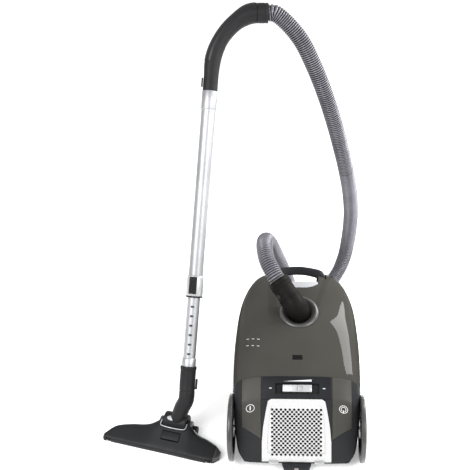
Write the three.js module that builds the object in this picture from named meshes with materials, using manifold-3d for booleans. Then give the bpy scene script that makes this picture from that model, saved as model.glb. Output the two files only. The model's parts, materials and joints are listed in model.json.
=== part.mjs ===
// Bagged cylinder vacuum cleaner with its hose, telescopic wand and floor head.
// Millimetres. +X is the machine's right, +Y its nose, +Z up, and the floor is Z = 0.

import * as THREE from "three";
import { mergeVertices } from "three/addons/utils/BufferGeometryUtils.js";
import Module from "manifold-3d";

const wasm = await Module();
wasm.setup();

// ---- Driving dimensions -------------------------------------------------------------------

const GAP = 0.4; // clearance between pieces that meet
const WALL = 3.5; // housing wall
const LID_STEP = 2.5; // the lid lies this far inside the black housing edge
const LID_WALL = 3;
const REAR_Y = 20; // rear bottom edge of the housing
const NOSE_Y = 450;
const SEAM_Y = 119; // seam between the lid and the control panel
const FINGER_GAP = { halfWidth: 48, rear: 392, floor: 172 };
const HANDLE = { low: 221, high: 238, depth: 17, foot: 214.4 };
const WHEEL = { radius: 73, y: 75, inner: 135.6, outer: 149.5, axle: 6 };
const ARCH = { radius: 77, inner: 134.6 };
const CASTER = { x: 0, y: 360, pocket: 36, roof: 54, radius: 20, trail: 8 };
const INLET = { x: 6, y: 275, z: 232, tilt: 17, flange: 44.5, bore: 24.6 };
const HOSE_RADIUS = 19;
const OUTLET = { y: 178, z: 66, x: 136 };

// Half the width of the body in plan, as [y, x].
const PLAN_LINE = [
  [REAR_Y, 112],
  [32, 124],
  [50, 130],
  [76, 134.6],
  [130, 139.5],
  [220, 142],
  [275, 140.5],
  [340, 134],
  [385, 121],
  [412, 107],
  [428, 95],
  [440, 81],
  [447, 65],
  [NOSE_Y, 50],
];

// Heights along the middle line of the body, as [y, z].
const TOP_LINE = [
  [REAR_Y, 29],
  [76, 149],
  [90, 163],
  [104, 174.5],
  [SEAM_Y, 184],
  [165, 204],
  [232, 227],
  [282, 234],
  [400, 237],
  [432, 230],
  [NOSE_Y, 216],
];
const RIM_LINE = [
  [0, 10],
  [REAR_Y, 27],
  [118, 112],
  [230, 141],
  [340, 173],
  [425, 207],
  [470, 222],
];
const BOTTOM_LINE = [
  [REAR_Y, 24],
  [360, 24],
  [400, 38],
  [430, 72],
  [NOSE_Y, 118],
];

// How square the upper half of the cross-section is, as [y, power].
const DOME_LINE = [
  [REAR_Y, 5],
  [90, 4.5],
  [165, 3.2],
  [NOSE_Y, 3],
];

// ---- Colours ------------------------------------------------------------------------------

const paint = (color, roughness, metalness = 0) => ({ color, roughness, metalness });
const BLACK = paint(0x35363a, 0.45);
const TAUPE = paint(0x5c5b56, 0.25);
const SILVER = paint(0xb8bcbf, 0.3, 0.9);
const LIGHT_GREY = paint(0xcfd0d4, 0.4);
const WHITE = paint(0xf4f4f4, 0.4);
const HOSE_GREY = paint(0x86858d, 0.5);
const WHEEL_GREY = paint(0x6a6a68, 0.4);
const RUBBER = paint(0x222224, 0.8);
const PAPER = paint(0xd8cfae, 0.9);
const COPPER = paint(0xa7683a, 0.4, 0.8);
const FILTER_WHITE = paint(0xe9ecef, 0.9);

// ---- Solids and booleans ------------------------------------------------------------------

function solid(geometry) {
  const bare = geometry.clone();
  bare.deleteAttribute("normal");
  bare.deleteAttribute("uv");
  const merged = mergeVertices(bare, 1e-4);
  return new wasm.Manifold(
    new wasm.Mesh({
      numProp: 3,
      vertProperties: new Float32Array(merged.attributes.position.array),
      triVerts: new Uint32Array(merged.index.array),
    }),
  );
}

function geometryOf(manifold) {
  const mesh = manifold.getMesh();
  const geometry = new THREE.BufferGeometry();
  geometry.setAttribute("position", new THREE.BufferAttribute(mesh.vertProperties, 3));
  geometry.setIndex(new THREE.BufferAttribute(mesh.triVerts, 1));
  return geometry;
}

const joined = (first, ...others) =>
  geometryOf(others.reduce((whole, next) => whole.add(solid(next)), solid(first)));

const cut = (first, ...others) =>
  geometryOf(others.reduce((whole, next) => whole.subtract(solid(next)), solid(first)));

const common = (first, second) => geometryOf(solid(first).intersect(solid(second)));

// ---- Basic shapes, each returned in place -------------------------------------------------

const RADIANS = Math.PI / 180;

function block([x0, x1], [y0, y1], [z0, z1]) {
  return new THREE.BoxGeometry(x1 - x0, y1 - y0, z1 - z0).translate(
    (x0 + x1) / 2,
    (y0 + y1) / 2,
    (z0 + z1) / 2,
  );
}

function cylinderZ(radius, z0, z1, x = 0, y = 0, segments = 20) {
  return new THREE.CylinderGeometry(radius, radius, z1 - z0, segments)
    .rotateX(Math.PI / 2)
    .translate(x, y, (z0 + z1) / 2);
}

function cylinderX(radius, x0, x1, y, z, segments = 20) {
  return new THREE.CylinderGeometry(radius, radius, x1 - x0, segments)
    .rotateZ(-Math.PI / 2)
    .translate((x0 + x1) / 2, y, z);
}

function cylinderY(radius, y0, y1, x, z, segments = 20) {
  return new THREE.CylinderGeometry(radius, radius, y1 - y0, segments).translate(x, (y0 + y1) / 2, z);
}

// A solid of revolution about +Z from [radius, height] pairs listed anticlockwise.
function turned(profile, segments = 20) {
  const outline = profile.map(([radius, height]) => new THREE.Vector2(radius, height));
  if (profile[0][0] > 0) {
    outline.push(outline[0].clone());
  }
  return new THREE.LatheGeometry(outline, segments).rotateX(Math.PI / 2);
}

const ring = (outer, inner, z0, z1) => turned([[inner, z0], [outer, z0], [outer, z1], [inner, z1]]);

function extruded(points, depth) {
  const shape = new THREE.Shape(points.map(([x, y]) => new THREE.Vector2(x, y)));
  return new THREE.ExtrudeGeometry(shape, { depth, bevelEnabled: false });
}

const prismZ = (points, z0, z1) => extruded(points, z1 - z0).translate(0, 0, z0);

// A prism whose outline is given as [y, z] and which runs from x0 to x1.
function prismX(points, x0, x1) {
  return extruded(points, x1 - x0)
    .applyMatrix4(
      new THREE.Matrix4().makeBasis(
        new THREE.Vector3(0, 1, 0),
        new THREE.Vector3(0, 0, 1),
        new THREE.Vector3(1, 0, 0),
      ),
    )
    .translate(x0, 0, 0);
}

const smooth = (points) => new THREE.CatmullRomCurve3(points, false, "centripetal");

// A round tube along a curve.
function tube(path, outer, inner, steps, sides) {
  const circle = (radius) =>
    Array.from({ length: sides }, (_, i) => {
      const angle = (2 * Math.PI * i) / sides;
      return new THREE.Vector2(radius * Math.cos(angle), radius * Math.sin(angle));
    });
  const section = new THREE.Shape(circle(outer));
  section.holes.push(new THREE.Path(circle(inner)));
  return new THREE.ExtrudeGeometry(section, { steps, extrudePath: path, bevelEnabled: false });
}

// A closed body through rings of equally many points, with flat ends.
function loft(rings) {
  const count = rings[0].length;
  const vertices = rings.flat();
  const faces = [];
  for (let r = 0; r + 1 < rings.length; r += 1) {
    for (let i = 0; i < count; i += 1) {
      const a = r * count + i;
      const b = r * count + ((i + 1) % count);
      faces.push(a, b, a + count, b, b + count, a + count);
    }
  }
  for (const end of [0, rings.length - 1]) {
    const middle = rings[end].reduce((sum, p) => sum.add(p), new THREE.Vector3());
    vertices.push(middle.divideScalar(count));
    const hub = vertices.length - 1;
    for (let i = 0; i < count; i += 1) {
      const a = end * count + i;
      const b = end * count + ((i + 1) % count);
      faces.push(hub, ...(end === 0 ? [b, a] : [a, b]));
    }
  }
  const geometry = new THREE.BufferGeometry();
  geometry.setAttribute(
    "position",
    new THREE.Float32BufferAttribute(vertices.flatMap((p) => [p.x, p.y, p.z]), 3),
  );
  geometry.setIndex(faces);
  return geometry;
}

// A smooth function through [position, value] pairs.
function through(pairs) {
  const slope = (i) => {
    const before = pairs[Math.max(i - 1, 0)];
    const after = pairs[Math.min(i + 1, pairs.length - 1)];
    return (after[1] - before[1]) / (after[0] - before[0]);
  };
  return (position) => {
    let i = 0;
    while (i < pairs.length - 2 && position > pairs[i + 1][0]) {
      i += 1;
    }
    const [p0, v0] = pairs[i];
    const [p1, v1] = pairs[i + 1];
    const span = p1 - p0;
    const t = THREE.MathUtils.clamp((position - p0) / span, 0, 1);
    return (
      v0 * (2 * t ** 3 - 3 * t ** 2 + 1) +
      slope(i) * span * (t ** 3 - 2 * t ** 2 + t) +
      v1 * (3 * t ** 2 - 2 * t ** 3) +
      slope(i + 1) * span * (t ** 3 - t ** 2)
    );
  };
}

// ---- Body surface -------------------------------------------------------------------------

const topHeight = through(TOP_LINE);
const rimHeight = through(RIM_LINE);
const bottomHeight = through(BOTTOM_LINE);
const halfWidth = through(PLAN_LINE);
const domePower = through(DOME_LINE);

// How far an inset of 1 moves a line of this slope, capped at the steep ends.
function slant(line, y) {
  const slope = line(y + 0.5) - line(y - 0.5);
  return Math.min(Math.hypot(1, slope), 2.4);
}

// The cross-section at y: a domed upper half on a boxy lower half, drawn inset all round.
function bodySection(y, inset) {
  const wide = Math.max(halfWidth(y) - inset * slant(halfWidth, y), 6);
  const top = topHeight(y) - inset * slant(topHeight, y);
  const bottom = bottomHeight(y) + inset * slant(bottomHeight, y);
  const belt = THREE.MathUtils.clamp(rimHeight(y), bottom + 1, top - 1);
  const steps = 24;
  return Array.from({ length: steps }, (_, i) => {
    const angle = (2 * Math.PI * (i + 0.5)) / steps;
    const [c, s] = [Math.cos(angle), Math.sin(angle)];
    const power = s > 0 ? domePower(y) : 5;
    const across = Math.sign(c) * Math.abs(c) ** (2 / power);
    const up = Math.abs(s) ** (2 / power);
    const x = wide * across * (s > 0 ? 1 : 1 - 0.1 * up);
    const z = s > 0 ? belt + (top - belt) * up : belt - (belt - bottom) * up;
    return new THREE.Vector3(x, y, z);
  });
}

const BODY_STATIONS = [20, 34, 55, 76, 98, 119, 150, 190, 240, 300, 355, 395, 420, 438, NOSE_Y];

function bodySolid(inset) {
  const rear = REAR_Y + 1.7 * inset;
  const stations = [...new Set(BODY_STATIONS.map((y) => THREE.MathUtils.clamp(y, rear, NOSE_Y - inset)))];
  return loft(stations.map((y) => bodySection(y, inset)).reverse());
}

// Everything above or below the rim line between two places along the body.
function rimPrism(above, y0, y1) {
  const edge = [];
  const steps = Math.max(2, Math.ceil((y1 - y0) / 40));
  for (let i = 0; i <= steps; i += 1) {
    const y = y0 + ((y1 - y0) * i) / steps;
    edge.push([y, rimHeight(y) + (above ? GAP / 2 : -GAP / 2)]);
  }
  const far = above ? 320 : -10;
  return prismX([...edge, [y1, far], [y0, far]], -170, 170);
}

const wheelArches = (grow) =>
  [-1, 1].map((side) => {
    const [near, far] = [side * (ARCH.inner - grow), side * 175];
    const radius = ARCH.radius + grow;
    return cylinderX(radius, Math.min(near, far), Math.max(near, far), WHEEL.y, WHEEL.radius, 28);
  });

const casterPocket = (grow) =>
  cylinderZ(CASTER.pocket + grow, -10, CASTER.roof + grow, CASTER.x, CASTER.y, 20);

const fingerRecess = (grow) =>
  block(
    [-FINGER_GAP.halfWidth - grow, FINGER_GAP.halfWidth + grow],
    [FINGER_GAP.rear - grow, NOSE_Y + 30],
    [FINGER_GAP.floor - grow, 320],
  );

const hollows = (grow) => [...wheelArches(grow), casterPocket(grow), fingerRecess(grow)];

const housingShell = cut(
  cut(bodySolid(0), ...hollows(0)),
  cut(bodySolid(WALL), ...hollows(WALL)),
  cylinderX(WHEEL.axle + GAP, -160, 160, WHEEL.y, WHEEL.radius, 20),
);
const lidShell = cut(bodySolid(LID_STEP), bodySolid(LID_STEP + LID_WALL));

// ---- The machine: housing, covers and controls --------------------------------------------

const machine = new THREE.Group();

function add(parent, name, geometry, look) {
  const mesh = new THREE.Mesh(geometry, new THREE.MeshStandardMaterial(look));
  mesh.name = name;
  parent.add(mesh);
}

const RELEASE = 0.6; // clearance round the pieces that move in the covers
const PEDAL = { inner: 76, outer: 117, front: SEAM_Y - 1.2, rearInner: 41, rearOuter: 54 };
const PANEL = { halfWidth: 71.5, rear: 79.5, front: SEAM_Y - 1.2 };
const SLOT = { x: 1.5, halfWidth: 47, y: 97, halfDepth: 8.8, slope: 38, surface: 168.6 };
const SLIDER = { width: 62, depth: 15, low: -3, high: 2.5 };
const GRILLE_OUTLINE = [
  [54, 78],
  [60.5, 75.5],
  [64.5, 67],
  [71.2, 50],
  [74, 36],
  [74.2, 20.3],
];

const bothSides = (points) => [...points, ...points.map(([x, y]) => [-x, y]).reverse()];

function pedalOutline(side, grow) {
  const [inner, outer] = [side * (PEDAL.inner - grow), side * (PEDAL.outer + grow)];
  const front = PEDAL.front + (grow > 0 ? 10 : 0);
  const [rearInner, rearOuter] = [PEDAL.rearInner - grow, PEDAL.rearOuter - grow];
  return [[outer, front], [inner, front], [inner, rearInner], [outer, rearOuter]];
}

const panelBlock = (grow) =>
  block(
    [-PANEL.halfWidth - grow, PANEL.halfWidth + grow],
    [PANEL.rear - grow, PANEL.front + (grow > 0 ? 10 : 0)],
    [60, 320],
  );

const rearShell = common(housingShell, rimPrism(true, 0, SEAM_Y - GAP));

const grilleOpening = prismZ(
  bothSides([...GRILLE_OUTLINE.map(([x, y]) => [x + GAP, y + GAP]), [75, -10]]),
  0,
  320,
);

function lowerHousing() {
  const tub = common(housingShell, rimPrism(false, 0, 470));
  return cut(
    tub,
    cylinderZ(5 + GAP, 40, 70, CASTER.x, CASTER.y, 20),
    cylinderX(9 + GAP, 120, 160, OUTLET.y, OUTLET.z, 24),
  );
}

add(machine, "lower_housing", lowerHousing(), BLACK);
add(
  machine,
  "rear_cover",
  cut(
    rearShell,
    panelBlock(GAP),
    grilleOpening,
    prismZ(pedalOutline(-1, RELEASE), 0, 320),
    prismZ(pedalOutline(1, RELEASE), 0, 320),
  ),
  BLACK,
);
add(
  machine,
  "control_panel",
  cut(
    common(rearShell, panelBlock(0)),
    block(
      [SLOT.x - SLOT.halfWidth, SLOT.x + SLOT.halfWidth],
      [SLOT.y - SLOT.halfDepth, SLOT.y + SLOT.halfDepth],
      [60, 320],
    ),
  ),
  paint(0x2b2d33, 0.3),
);
add(machine, "power_pedal", common(rearShell, prismZ(pedalOutline(-1, 0), 0, 320)), TAUPE);
add(machine, "rewind_pedal", common(rearShell, prismZ(pedalOutline(1, 0), 0, 320)), TAUPE);

// A block centred on the slider slot, lying along its slope; heights are above the surface.
function onSlot(width, depth, low, high) {
  return block([-width / 2, width / 2], [-depth / 2, depth / 2], [low, high])
    .rotateX(SLOT.slope * RADIANS)
    .translate(SLOT.x, SLOT.y, SLOT.surface);
}

add(machine, "power_slider", onSlot(SLIDER.width, SLIDER.depth, SLIDER.low, SLIDER.high), SILVER);
add(machine, "slider_track", onSlot(100, 26, -10.4, -6.4), RUBBER);

// The exhaust grille stands slightly proud of the sloping rear face.
const GRILLE_PROUD = 2;
const GRILLE_SLOTS = { count: 12, pitch: 10, width: 5, row: [33, 65] };
const grilleShell = cut(bodySolid(-GRILLE_PROUD), bodySolid(WALL));

function exhaustGrille() {
  const panel = common(
    common(grilleShell, rimPrism(true, 0, SEAM_Y)),
    prismZ(bothSides(GRILLE_OUTLINE), 0, 320),
  );
  const slots = [];
  for (let i = 0; i < GRILLE_SLOTS.count; i += 1) {
    const x = (i - (GRILLE_SLOTS.count - 1) / 2) * GRILLE_SLOTS.pitch;
    slots.push(block([x - GRILLE_SLOTS.width / 2, x + GRILLE_SLOTS.width / 2], GRILLE_SLOTS.row, [0, 320]));
  }
  const tabs = [-49, 49].map((x) => block([x - 10.5, x + 10.5], [13, REAR_Y + 0.3], [28.2, 32]));
  return joined(cut(panel, ...slots), ...tabs);
}

add(machine, "exhaust_grille", exhaustGrille(), WHITE);

function parkingHook() {
  const bar = prismZ(bothSides([[32, 26], [26, 6]]), 12, 23.4);
  return cut(bar, block([-4.5, 4.5], [0, 16], [0, 30]));
}

add(machine, "parking_hook", parkingHook(), BLACK);

// ---- The machine: carrying handle ---------------------------------------------------------

// The front edge of the nose, seen from above, at a distance from the middle line.
const noseEdge = (x) => NOSE_Y - 32 * (Math.abs(x) / 74) ** 2.2;

function handleBand(x0, x1, depth) {
  const steps = 10;
  const front = Array.from({ length: steps + 1 }, (_, i) => {
    const x = x0 + ((x1 - x0) * i) / steps;
    return [x, noseEdge(x)];
  });
  return [...front, ...front.map(([x, y]) => [x, y - depth]).reverse()];
}

const HANDLE_END = 74;
const handleClearance = handleBand(-HANDLE_END - 1.5, HANDLE_END + 1.5, HANDLE.depth + 12)
  .map(([x, y]) => [x, y + 10]);

function carryHandle() {
  const bar = prismZ(handleBand(-HANDLE_END, HANDLE_END, HANDLE.depth), HANDLE.low, HANDLE.high);
  const ends = [-1, 1].flatMap((side) => {
    const [x0, x1] = side < 0 ? [-HANDLE_END, -54] : [54, HANDLE_END];
    const post = side < 0 ? [-66, -54] : [54, 66];
    return [
      prismZ(handleBand(x0, x1, HANDLE.depth), HANDLE.foot, HANDLE.low + 1),
      block(post, [noseEdge(60) - HANDLE.depth + 1, noseEdge(60) - 8], [178, HANDLE.foot + 1]),
    ];
  });
  return joined(bar, ...ends);
}

add(machine, "carry_handle", carryHandle(), BLACK);

// ---- The machine: bag lid and what it carries ---------------------------------------------

const WINDOW = { x: 2, halfWidth: 10.5, y: 161, halfDepth: 5 };
const LATCH = { halfWidth: 50, rear: 367, front: 390 };

function inletFrame(geometry) {
  return geometry.rotateX(INLET.tilt * RADIANS).translate(INLET.x, INLET.y, INLET.z);
}

const latchOutline = (grow) =>
  bothSides([
    [LATCH.halfWidth + grow, LATCH.front + (grow > 0 ? 60 : 0)],
    [LATCH.halfWidth + grow, LATCH.front - 8],
    [LATCH.halfWidth - 12, LATCH.rear + 5 - grow],
    [24, LATCH.rear - grow],
  ]);

const windowBlock = (grow) =>
  block(
    [WINDOW.x - WINDOW.halfWidth - grow, WINDOW.x + WINDOW.halfWidth + grow],
    [WINDOW.y - WINDOW.halfDepth - grow, WINDOW.y + WINDOW.halfDepth + grow],
    [150, 320],
  );

// The lid's rear lower corners are cut up a little, so that they clear the housing as it opens.
const cornerRelief = prismX(
  [
    [SEAM_Y - 5, 90],
    [156, 90],
    [156, rimHeight(156)],
    [SEAM_Y - 5, rimHeight(SEAM_Y - 5) + 5.4],
  ],
  -170,
  170,
);
const lidBlank = cut(common(lidShell, rimPrism(true, SEAM_Y + 1.2, 470)), cornerRelief);

function bagLid() {
  return cut(
    lidBlank,
    fingerRecess(2),
    prismZ(latchOutline(GAP), 150, 320),
    prismZ(handleClearance, 150, 320),
    windowBlock(GAP),
    inletFrame(cylinderZ(INLET.flange + GAP, -60, 40, 0, 0, 24)),
  );
}

add(machine, "bag_lid", bagLid(), TAUPE);
add(machine, "bag_window", common(lidBlank, windowBlock(0)), RUBBER);
add(machine, "lid_latch", common(lidBlank, prismZ(latchOutline(0), 150, 320)), LIGHT_GREY);
add(
  machine,
  "inlet_collar",
  inletFrame(
    turned([
      [INLET.bore, -14],
      [30, -14],
      [30, -6],
      [INLET.flange, -6],
      [INLET.flange, 2],
      [40.5, 6.5],
      [36, 7],
      [28, 0.5],
      [INLET.bore, -5],
    ]),
  ),
  BLACK,
);

// The hose connector: a spigot that turns in the inlet, a ball bend and a socket for the hose.
const HOSE_START = new THREE.Vector3(-42, 312, 296);
const SOCKET_AXIS = new THREE.Vector3(-0.56, 0.54, 0.63).normalize();
const SOCKET_LENGTH = 72;

function alongSocket(geometry) {
  const turn = new THREE.Quaternion().setFromUnitVectors(new THREE.Vector3(0, 0, 1), SOCKET_AXIS);
  return geometry.applyQuaternion(turn).translate(HOSE_START.x, HOSE_START.y, HOSE_START.z);
}

function elbowBody(spigot, shoulder, ball, socket, extra) {
  const bend = HOSE_START.clone().addScaledVector(SOCKET_AXIS, -SOCKET_LENGTH);
  return joined(
    inletFrame(cylinderZ(spigot, -13 - extra, shoulder, 0, 0, 20)),
    new THREE.SphereGeometry(ball, 12, 8).translate(bend.x, bend.y, bend.z),
    alongSocket(cylinderZ(socket, -SOCKET_LENGTH, -GAP + extra, 0, 0, 20)),
  );
}

const BUTTON = { radius: 6, at: -34 };

// One of the two round buttons on the sides of the connector.
function elbowButton(side, grow, inner, outer) {
  const across = new THREE.Vector3().crossVectors(SOCKET_AXIS, new THREE.Vector3(0, 0, 1)).normalize();
  const turn = new THREE.Quaternion().setFromUnitVectors(
    new THREE.Vector3(0, 0, 1),
    across.clone().multiplyScalar(side),
  );
  const centre = HOSE_START.clone().addScaledVector(SOCKET_AXIS, BUTTON.at);
  return cylinderZ(BUTTON.radius + grow, inner, outer, 0, 0, 20)
    .applyQuaternion(turn)
    .translate(centre.x, centre.y, centre.z);
}

add(
  machine,
  "hose_elbow",
  cut(
    elbowBody(INLET.bore - GAP, 6, 25.5, 22.5, 0),
    elbowBody(19.5, 2.5, 20.5, 17.5, 5),
    elbowButton(-1, GAP, 18.7, 40),
    elbowButton(1, GAP, 18.7, 40),
  ),
  RUBBER,
);
add(machine, "elbow_button_left", elbowButton(-1, 0, 21.1, 25.5), BLACK);
add(machine, "elbow_button_right", elbowButton(1, 0, 21.1, 25.5), BLACK);

// ---- The machine: inside ------------------------------------------------------------------

const MOTOR = { x: -48, z: 88, rear: 112, front: 194 };
const REEL = { x0: 62, x1: 108, y: 132, z: 95, radius: 53 };

add(
  machine,
  "bulkhead",
  cut(
    common(bodySolid(LID_STEP + LID_WALL + 2.4), block([-160, 160], [200, 204], [20, 153.4])),
    cylinderY(30, 190, 215, MOTOR.x, MOTOR.z, 28),
  ),
  BLACK,
);
add(
  machine,
  "motor_deck",
  common(bodySolid(LID_STEP + LID_WALL + 3), block([-112, 112], [SEAM_Y + 3, 203], [154, 157])),
  BLACK,
);
add(machine, "pre_motor_filter", block([MOTOR.x - 48, MOTOR.x + 48], [206, 214], [42, 136]), FILTER_WHITE);

function alongY(geometry, x, y, z) {
  return geometry.rotateX(-Math.PI / 2).translate(x, y, z);
}

// Open at the front, where the fan draws; the cap at the rear has a round outlet.
add(
  machine,
  "motor_casing",
  alongY(
    turned([
      [15, 0],
      [48, 0],
      [48, MOTOR.front - MOTOR.rear],
      [30, MOTOR.front - MOTOR.rear],
      [30, MOTOR.front - MOTOR.rear - 3],
      [45, MOTOR.front - MOTOR.rear - 3],
      [45, 3],
      [15, 3],
    ]),
    MOTOR.x,
    MOTOR.rear,
    MOTOR.z,
  ),
  SILVER,
);
add(
  machine,
  "motor_rotor",
  alongY(
    turned([
      [0, -6],
      [4, -6],
      [4, 8],
      [26, 8],
      [26, 44],
      [4, 44],
      [4, 56],
      [42, 60],
      [42, 70],
      [10, 74],
      [0, 74],
    ]),
    MOTOR.x,
    MOTOR.rear,
    MOTOR.z,
  ),
  COPPER,
);
// The exhaust filter stands behind the grille, parallel to it.
const FACE_LEAN = Math.atan2(153 - 29, 78 - REAR_Y);
add(
  machine,
  "exhaust_filter",
  block([-58, 58], [-50, 50], [-6, 6]).rotateX(FACE_LEAN).translate(0, 67, 82.5),
  FILTER_WHITE,
);

function cordReel() {
  const width = REEL.x1 - REEL.x0;
  return turned([
    [6.4, 0],
    [REEL.radius, 0],
    [REEL.radius, 2.5],
    [24, 2.5],
    [24, width - 2.5],
    [REEL.radius, width - 2.5],
    [REEL.radius, width],
    [6.4, width],
  ])
    .rotateY(Math.PI / 2)
    .translate(REEL.x0, REEL.y, REEL.z);
}

add(machine, "cord_reel", cordReel(), BLACK);
add(machine, "reel_axle", cylinderX(6, REEL.x0 - 5, REEL.x1 + 6, REEL.y, REEL.z, 24), SILVER);
add(machine, "reel_brake", block([80, 90], [186, 190], [96, 148]), BLACK);
add(machine, "power_switch", block([-108, -84], [86, 104], [118, 136]), BLACK);
add(
  machine,
  "bag_holder",
  cut(
    joined(
      block([-98, 98], [244, 334], [187, 190]),
      block([-98, -95], [262, 302], [37.6, 188]),
      block([95, 98], [262, 302], [37.6, 188]),
    ),
    cylinderZ(27, 180, 200, INLET.x, 287, 32),
  ),
  BLACK,
);

// A soft pillow under a card plate.
function dustBag() {
  const pillow = new THREE.SphereGeometry(1, 16, 10);
  const points = pillow.attributes.position;
  for (let i = 0; i < points.count; i += 1) {
    const soft = (value) => Math.sign(value) * Math.abs(value) ** 0.6;
    points.setXYZ(i, 86 * soft(points.getX(i)), 78 * soft(points.getY(i)), 62 * soft(points.getZ(i)));
  }
  pillow.translate(0, 304, 121);
  const card = block([INLET.x - 46, INLET.x + 46], [250, 332], [180, 184]);
  return joined(pillow, card);
}

add(machine, "dust_bag", dustBag(), PAPER);
add(machine, "inlet_seal", ring(35, 26, 190.4, 197).translate(INLET.x, 286, 0), RUBBER);

// ---- The machine: wheels ------------------------------------------------------------------

// Across the wheel from its inner face; the hub is hollow and its outer face is domed.
function rearWheel(side) {
  const width = WHEEL.outer - WHEEL.inner;
  const wheel = turned([
    [WHEEL.axle + GAP, 0],
    [20, 0],
    [20, 6],
    [58, 6],
    [58, 0],
    [70, 0],
    [73, 2],
    [73, 7.5],
    [70, 10.5],
    [50, 12.6],
    [0, width],
    [0, width - 2.5],
    [WHEEL.axle + GAP, width - 2.5],
  ], 24);
  return wheel
    .rotateY((side * Math.PI) / 2)
    .translate(side * WHEEL.inner, WHEEL.y, WHEEL.radius);
}

for (const [name, side] of [["left", -1], ["right", 1]]) {
  const reach = [side * 112, side * (WHEEL.outer - 3.2)].sort((a, b) => a - b);
  add(machine, `wheel_${name}`, rearWheel(side), WHEEL_GREY);
  add(machine, `axle_${name}`, cylinderX(WHEEL.axle, ...reach, WHEEL.y, WHEEL.radius, 24), SILVER);
}

function casterFork() {
  const plate = cylinderZ(27, 44, 47, CASTER.x, CASTER.y, 28);
  const stem = cylinderZ(5, 46, 61, CASTER.x, CASTER.y, 16);
  const wheelY = CASTER.y + CASTER.trail;
  const cheeks = [-13, 10].map((x) => block([x, x + 3], [wheelY - 7, wheelY + 7], [12, 45]));
  const pin = cylinderX(2.5, -12, 12, wheelY, CASTER.radius, 16);
  return joined(plate, stem, ...cheeks, pin);
}

add(machine, "caster_fork", casterFork(), BLACK);
add(
  machine,
  "caster_wheel",
  turned([
    [2.9, -9],
    [8, -9],
    [18, -7],
    [CASTER.radius, -4],
    [CASTER.radius, 4],
    [18, 7],
    [8, 9],
    [2.9, 9],
  ], 32)
    .rotateY(Math.PI / 2)
    .translate(CASTER.x, CASTER.y + CASTER.trail, CASTER.radius),
  RUBBER,
);
add(
  machine,
  "cord_outlet",
  turned([
    [4, 0],
    [9, 0],
    [9, 8],
    [12, 8],
    [11, 11],
    [4, 11],
  ], 28)
    .rotateY(Math.PI / 2)
    .translate(OUTLET.x - 8, OUTLET.y, OUTLET.z),
  RUBBER,
);

// ---- Wand and hose frame ------------------------------------------------------------------

// The wand stands on its head and leans away; WAND_BASE is on its axis just above the neck bend.
const PIVOT = new THREE.Vector3(-269, 127, 36);
const HEAD_YAW = -15;
const DRUM = { radius: 20, half: 27 };
const WAND_BASE = new THREE.Vector3(-245, 135, 95);
const WAND_AXIS = new THREE.Vector3(0.0787, 0.5446, 0.835).normalize();
const WAND_RIGHT = new THREE.Vector3(0.995, 0.012, -0.101).projectOnPlane(WAND_AXIS).normalize();
const WAND_BACK = new THREE.Vector3().crossVectors(WAND_AXIS, WAND_RIGHT);

const TUBE = { lower: 14, upper: 16, wall: 1.2 };
// Distances along the wand from WAND_BASE.
const AT = {
  lowerStart: 54,
  neckTop: 68,
  collarTop: 76,
  latch: 229.4,
  upper: 278,
  lowerEnd: 560,
  socket: 645,
  grip: 687,
};
// The grip is straight, then bends gently and at last sharply; angles are from the wand's axis.
const GRIP = { straight: 50, bends: [{ radius: 146, to: 56 }, { radius: 52, to: 86 }], cuff: 26 };

const wand = new THREE.Group();
wand.position.copy(WAND_BASE);
wand.quaternion.setFromRotationMatrix(new THREE.Matrix4().makeBasis(WAND_RIGHT, WAND_BACK, WAND_AXIS));
machine.add(wand);

function neck() {
  const along = (distance) => WAND_BASE.clone().addScaledVector(WAND_AXIS, distance);
  const path = smooth([
    PIVOT.clone().add(new THREE.Vector3(3, 0, 6)),
    new THREE.Vector3(-261.5, 127.5, 57),
    new THREE.Vector3(-254, 131, 77),
    WAND_BASE,
    along(40),
    along(AT.neckTop),
  ]);
  const drum = cylinderX(DRUM.radius, -DRUM.half, DRUM.half, 0, 0, 24)
    .rotateZ(HEAD_YAW * RADIANS)
    .translate(PIVOT.x, PIVOT.y, PIVOT.z);
  return joined(tube(path, 17.4, TUBE.lower + GAP, 10, 14), drum);
}

add(machine, "wand_neck", neck(), BLACK);
add(wand, "neck_collar", ring(18.2, TUBE.lower + GAP, AT.neckTop + GAP, AT.collarTop), BLACK);
add(wand, "parking_clip", block([17.9, 22.5], [-6, 6], [26, 48]), BLACK);
add(wand, "lower_tube", ring(TUBE.lower, TUBE.lower - TUBE.wall, AT.lowerStart, AT.lowerEnd), SILVER);
add(
  wand,
  "upper_tube",
  turned([
    [TUBE.lower + GAP, AT.upper + GAP],
    [TUBE.upper, AT.upper + GAP],
    [TUBE.upper, AT.socket],
    [TUBE.upper + 1.2, AT.socket + 4],
    [TUBE.upper + 1.2, AT.grip],
    [TUBE.lower + GAP, AT.grip],
  ]),
  SILVER,
);

const LATCH_SEAT = { x: -4, halfWidth: 8, low: 238, high: 275 };

const latchButton = (grow, high, low) =>
  block(
    [LATCH_SEAT.x - LATCH_SEAT.halfWidth - grow, LATCH_SEAT.x + LATCH_SEAT.halfWidth + grow],
    [-high, -low],
    [LATCH_SEAT.low - grow, LATCH_SEAT.high + grow],
  );

add(
  wand,
  "latch_housing",
  cut(ring(18.5, TUBE.lower + GAP, AT.latch + 3, AT.upper), latchButton(GAP, 30, 15)),
  SILVER,
);
add(wand, "latch_button", latchButton(0, 22, 17.2), RUBBER);
add(wand, "latch_ring", ring(19.5, TUBE.lower + GAP, AT.latch, AT.latch + 2.6), BLACK);

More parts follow.
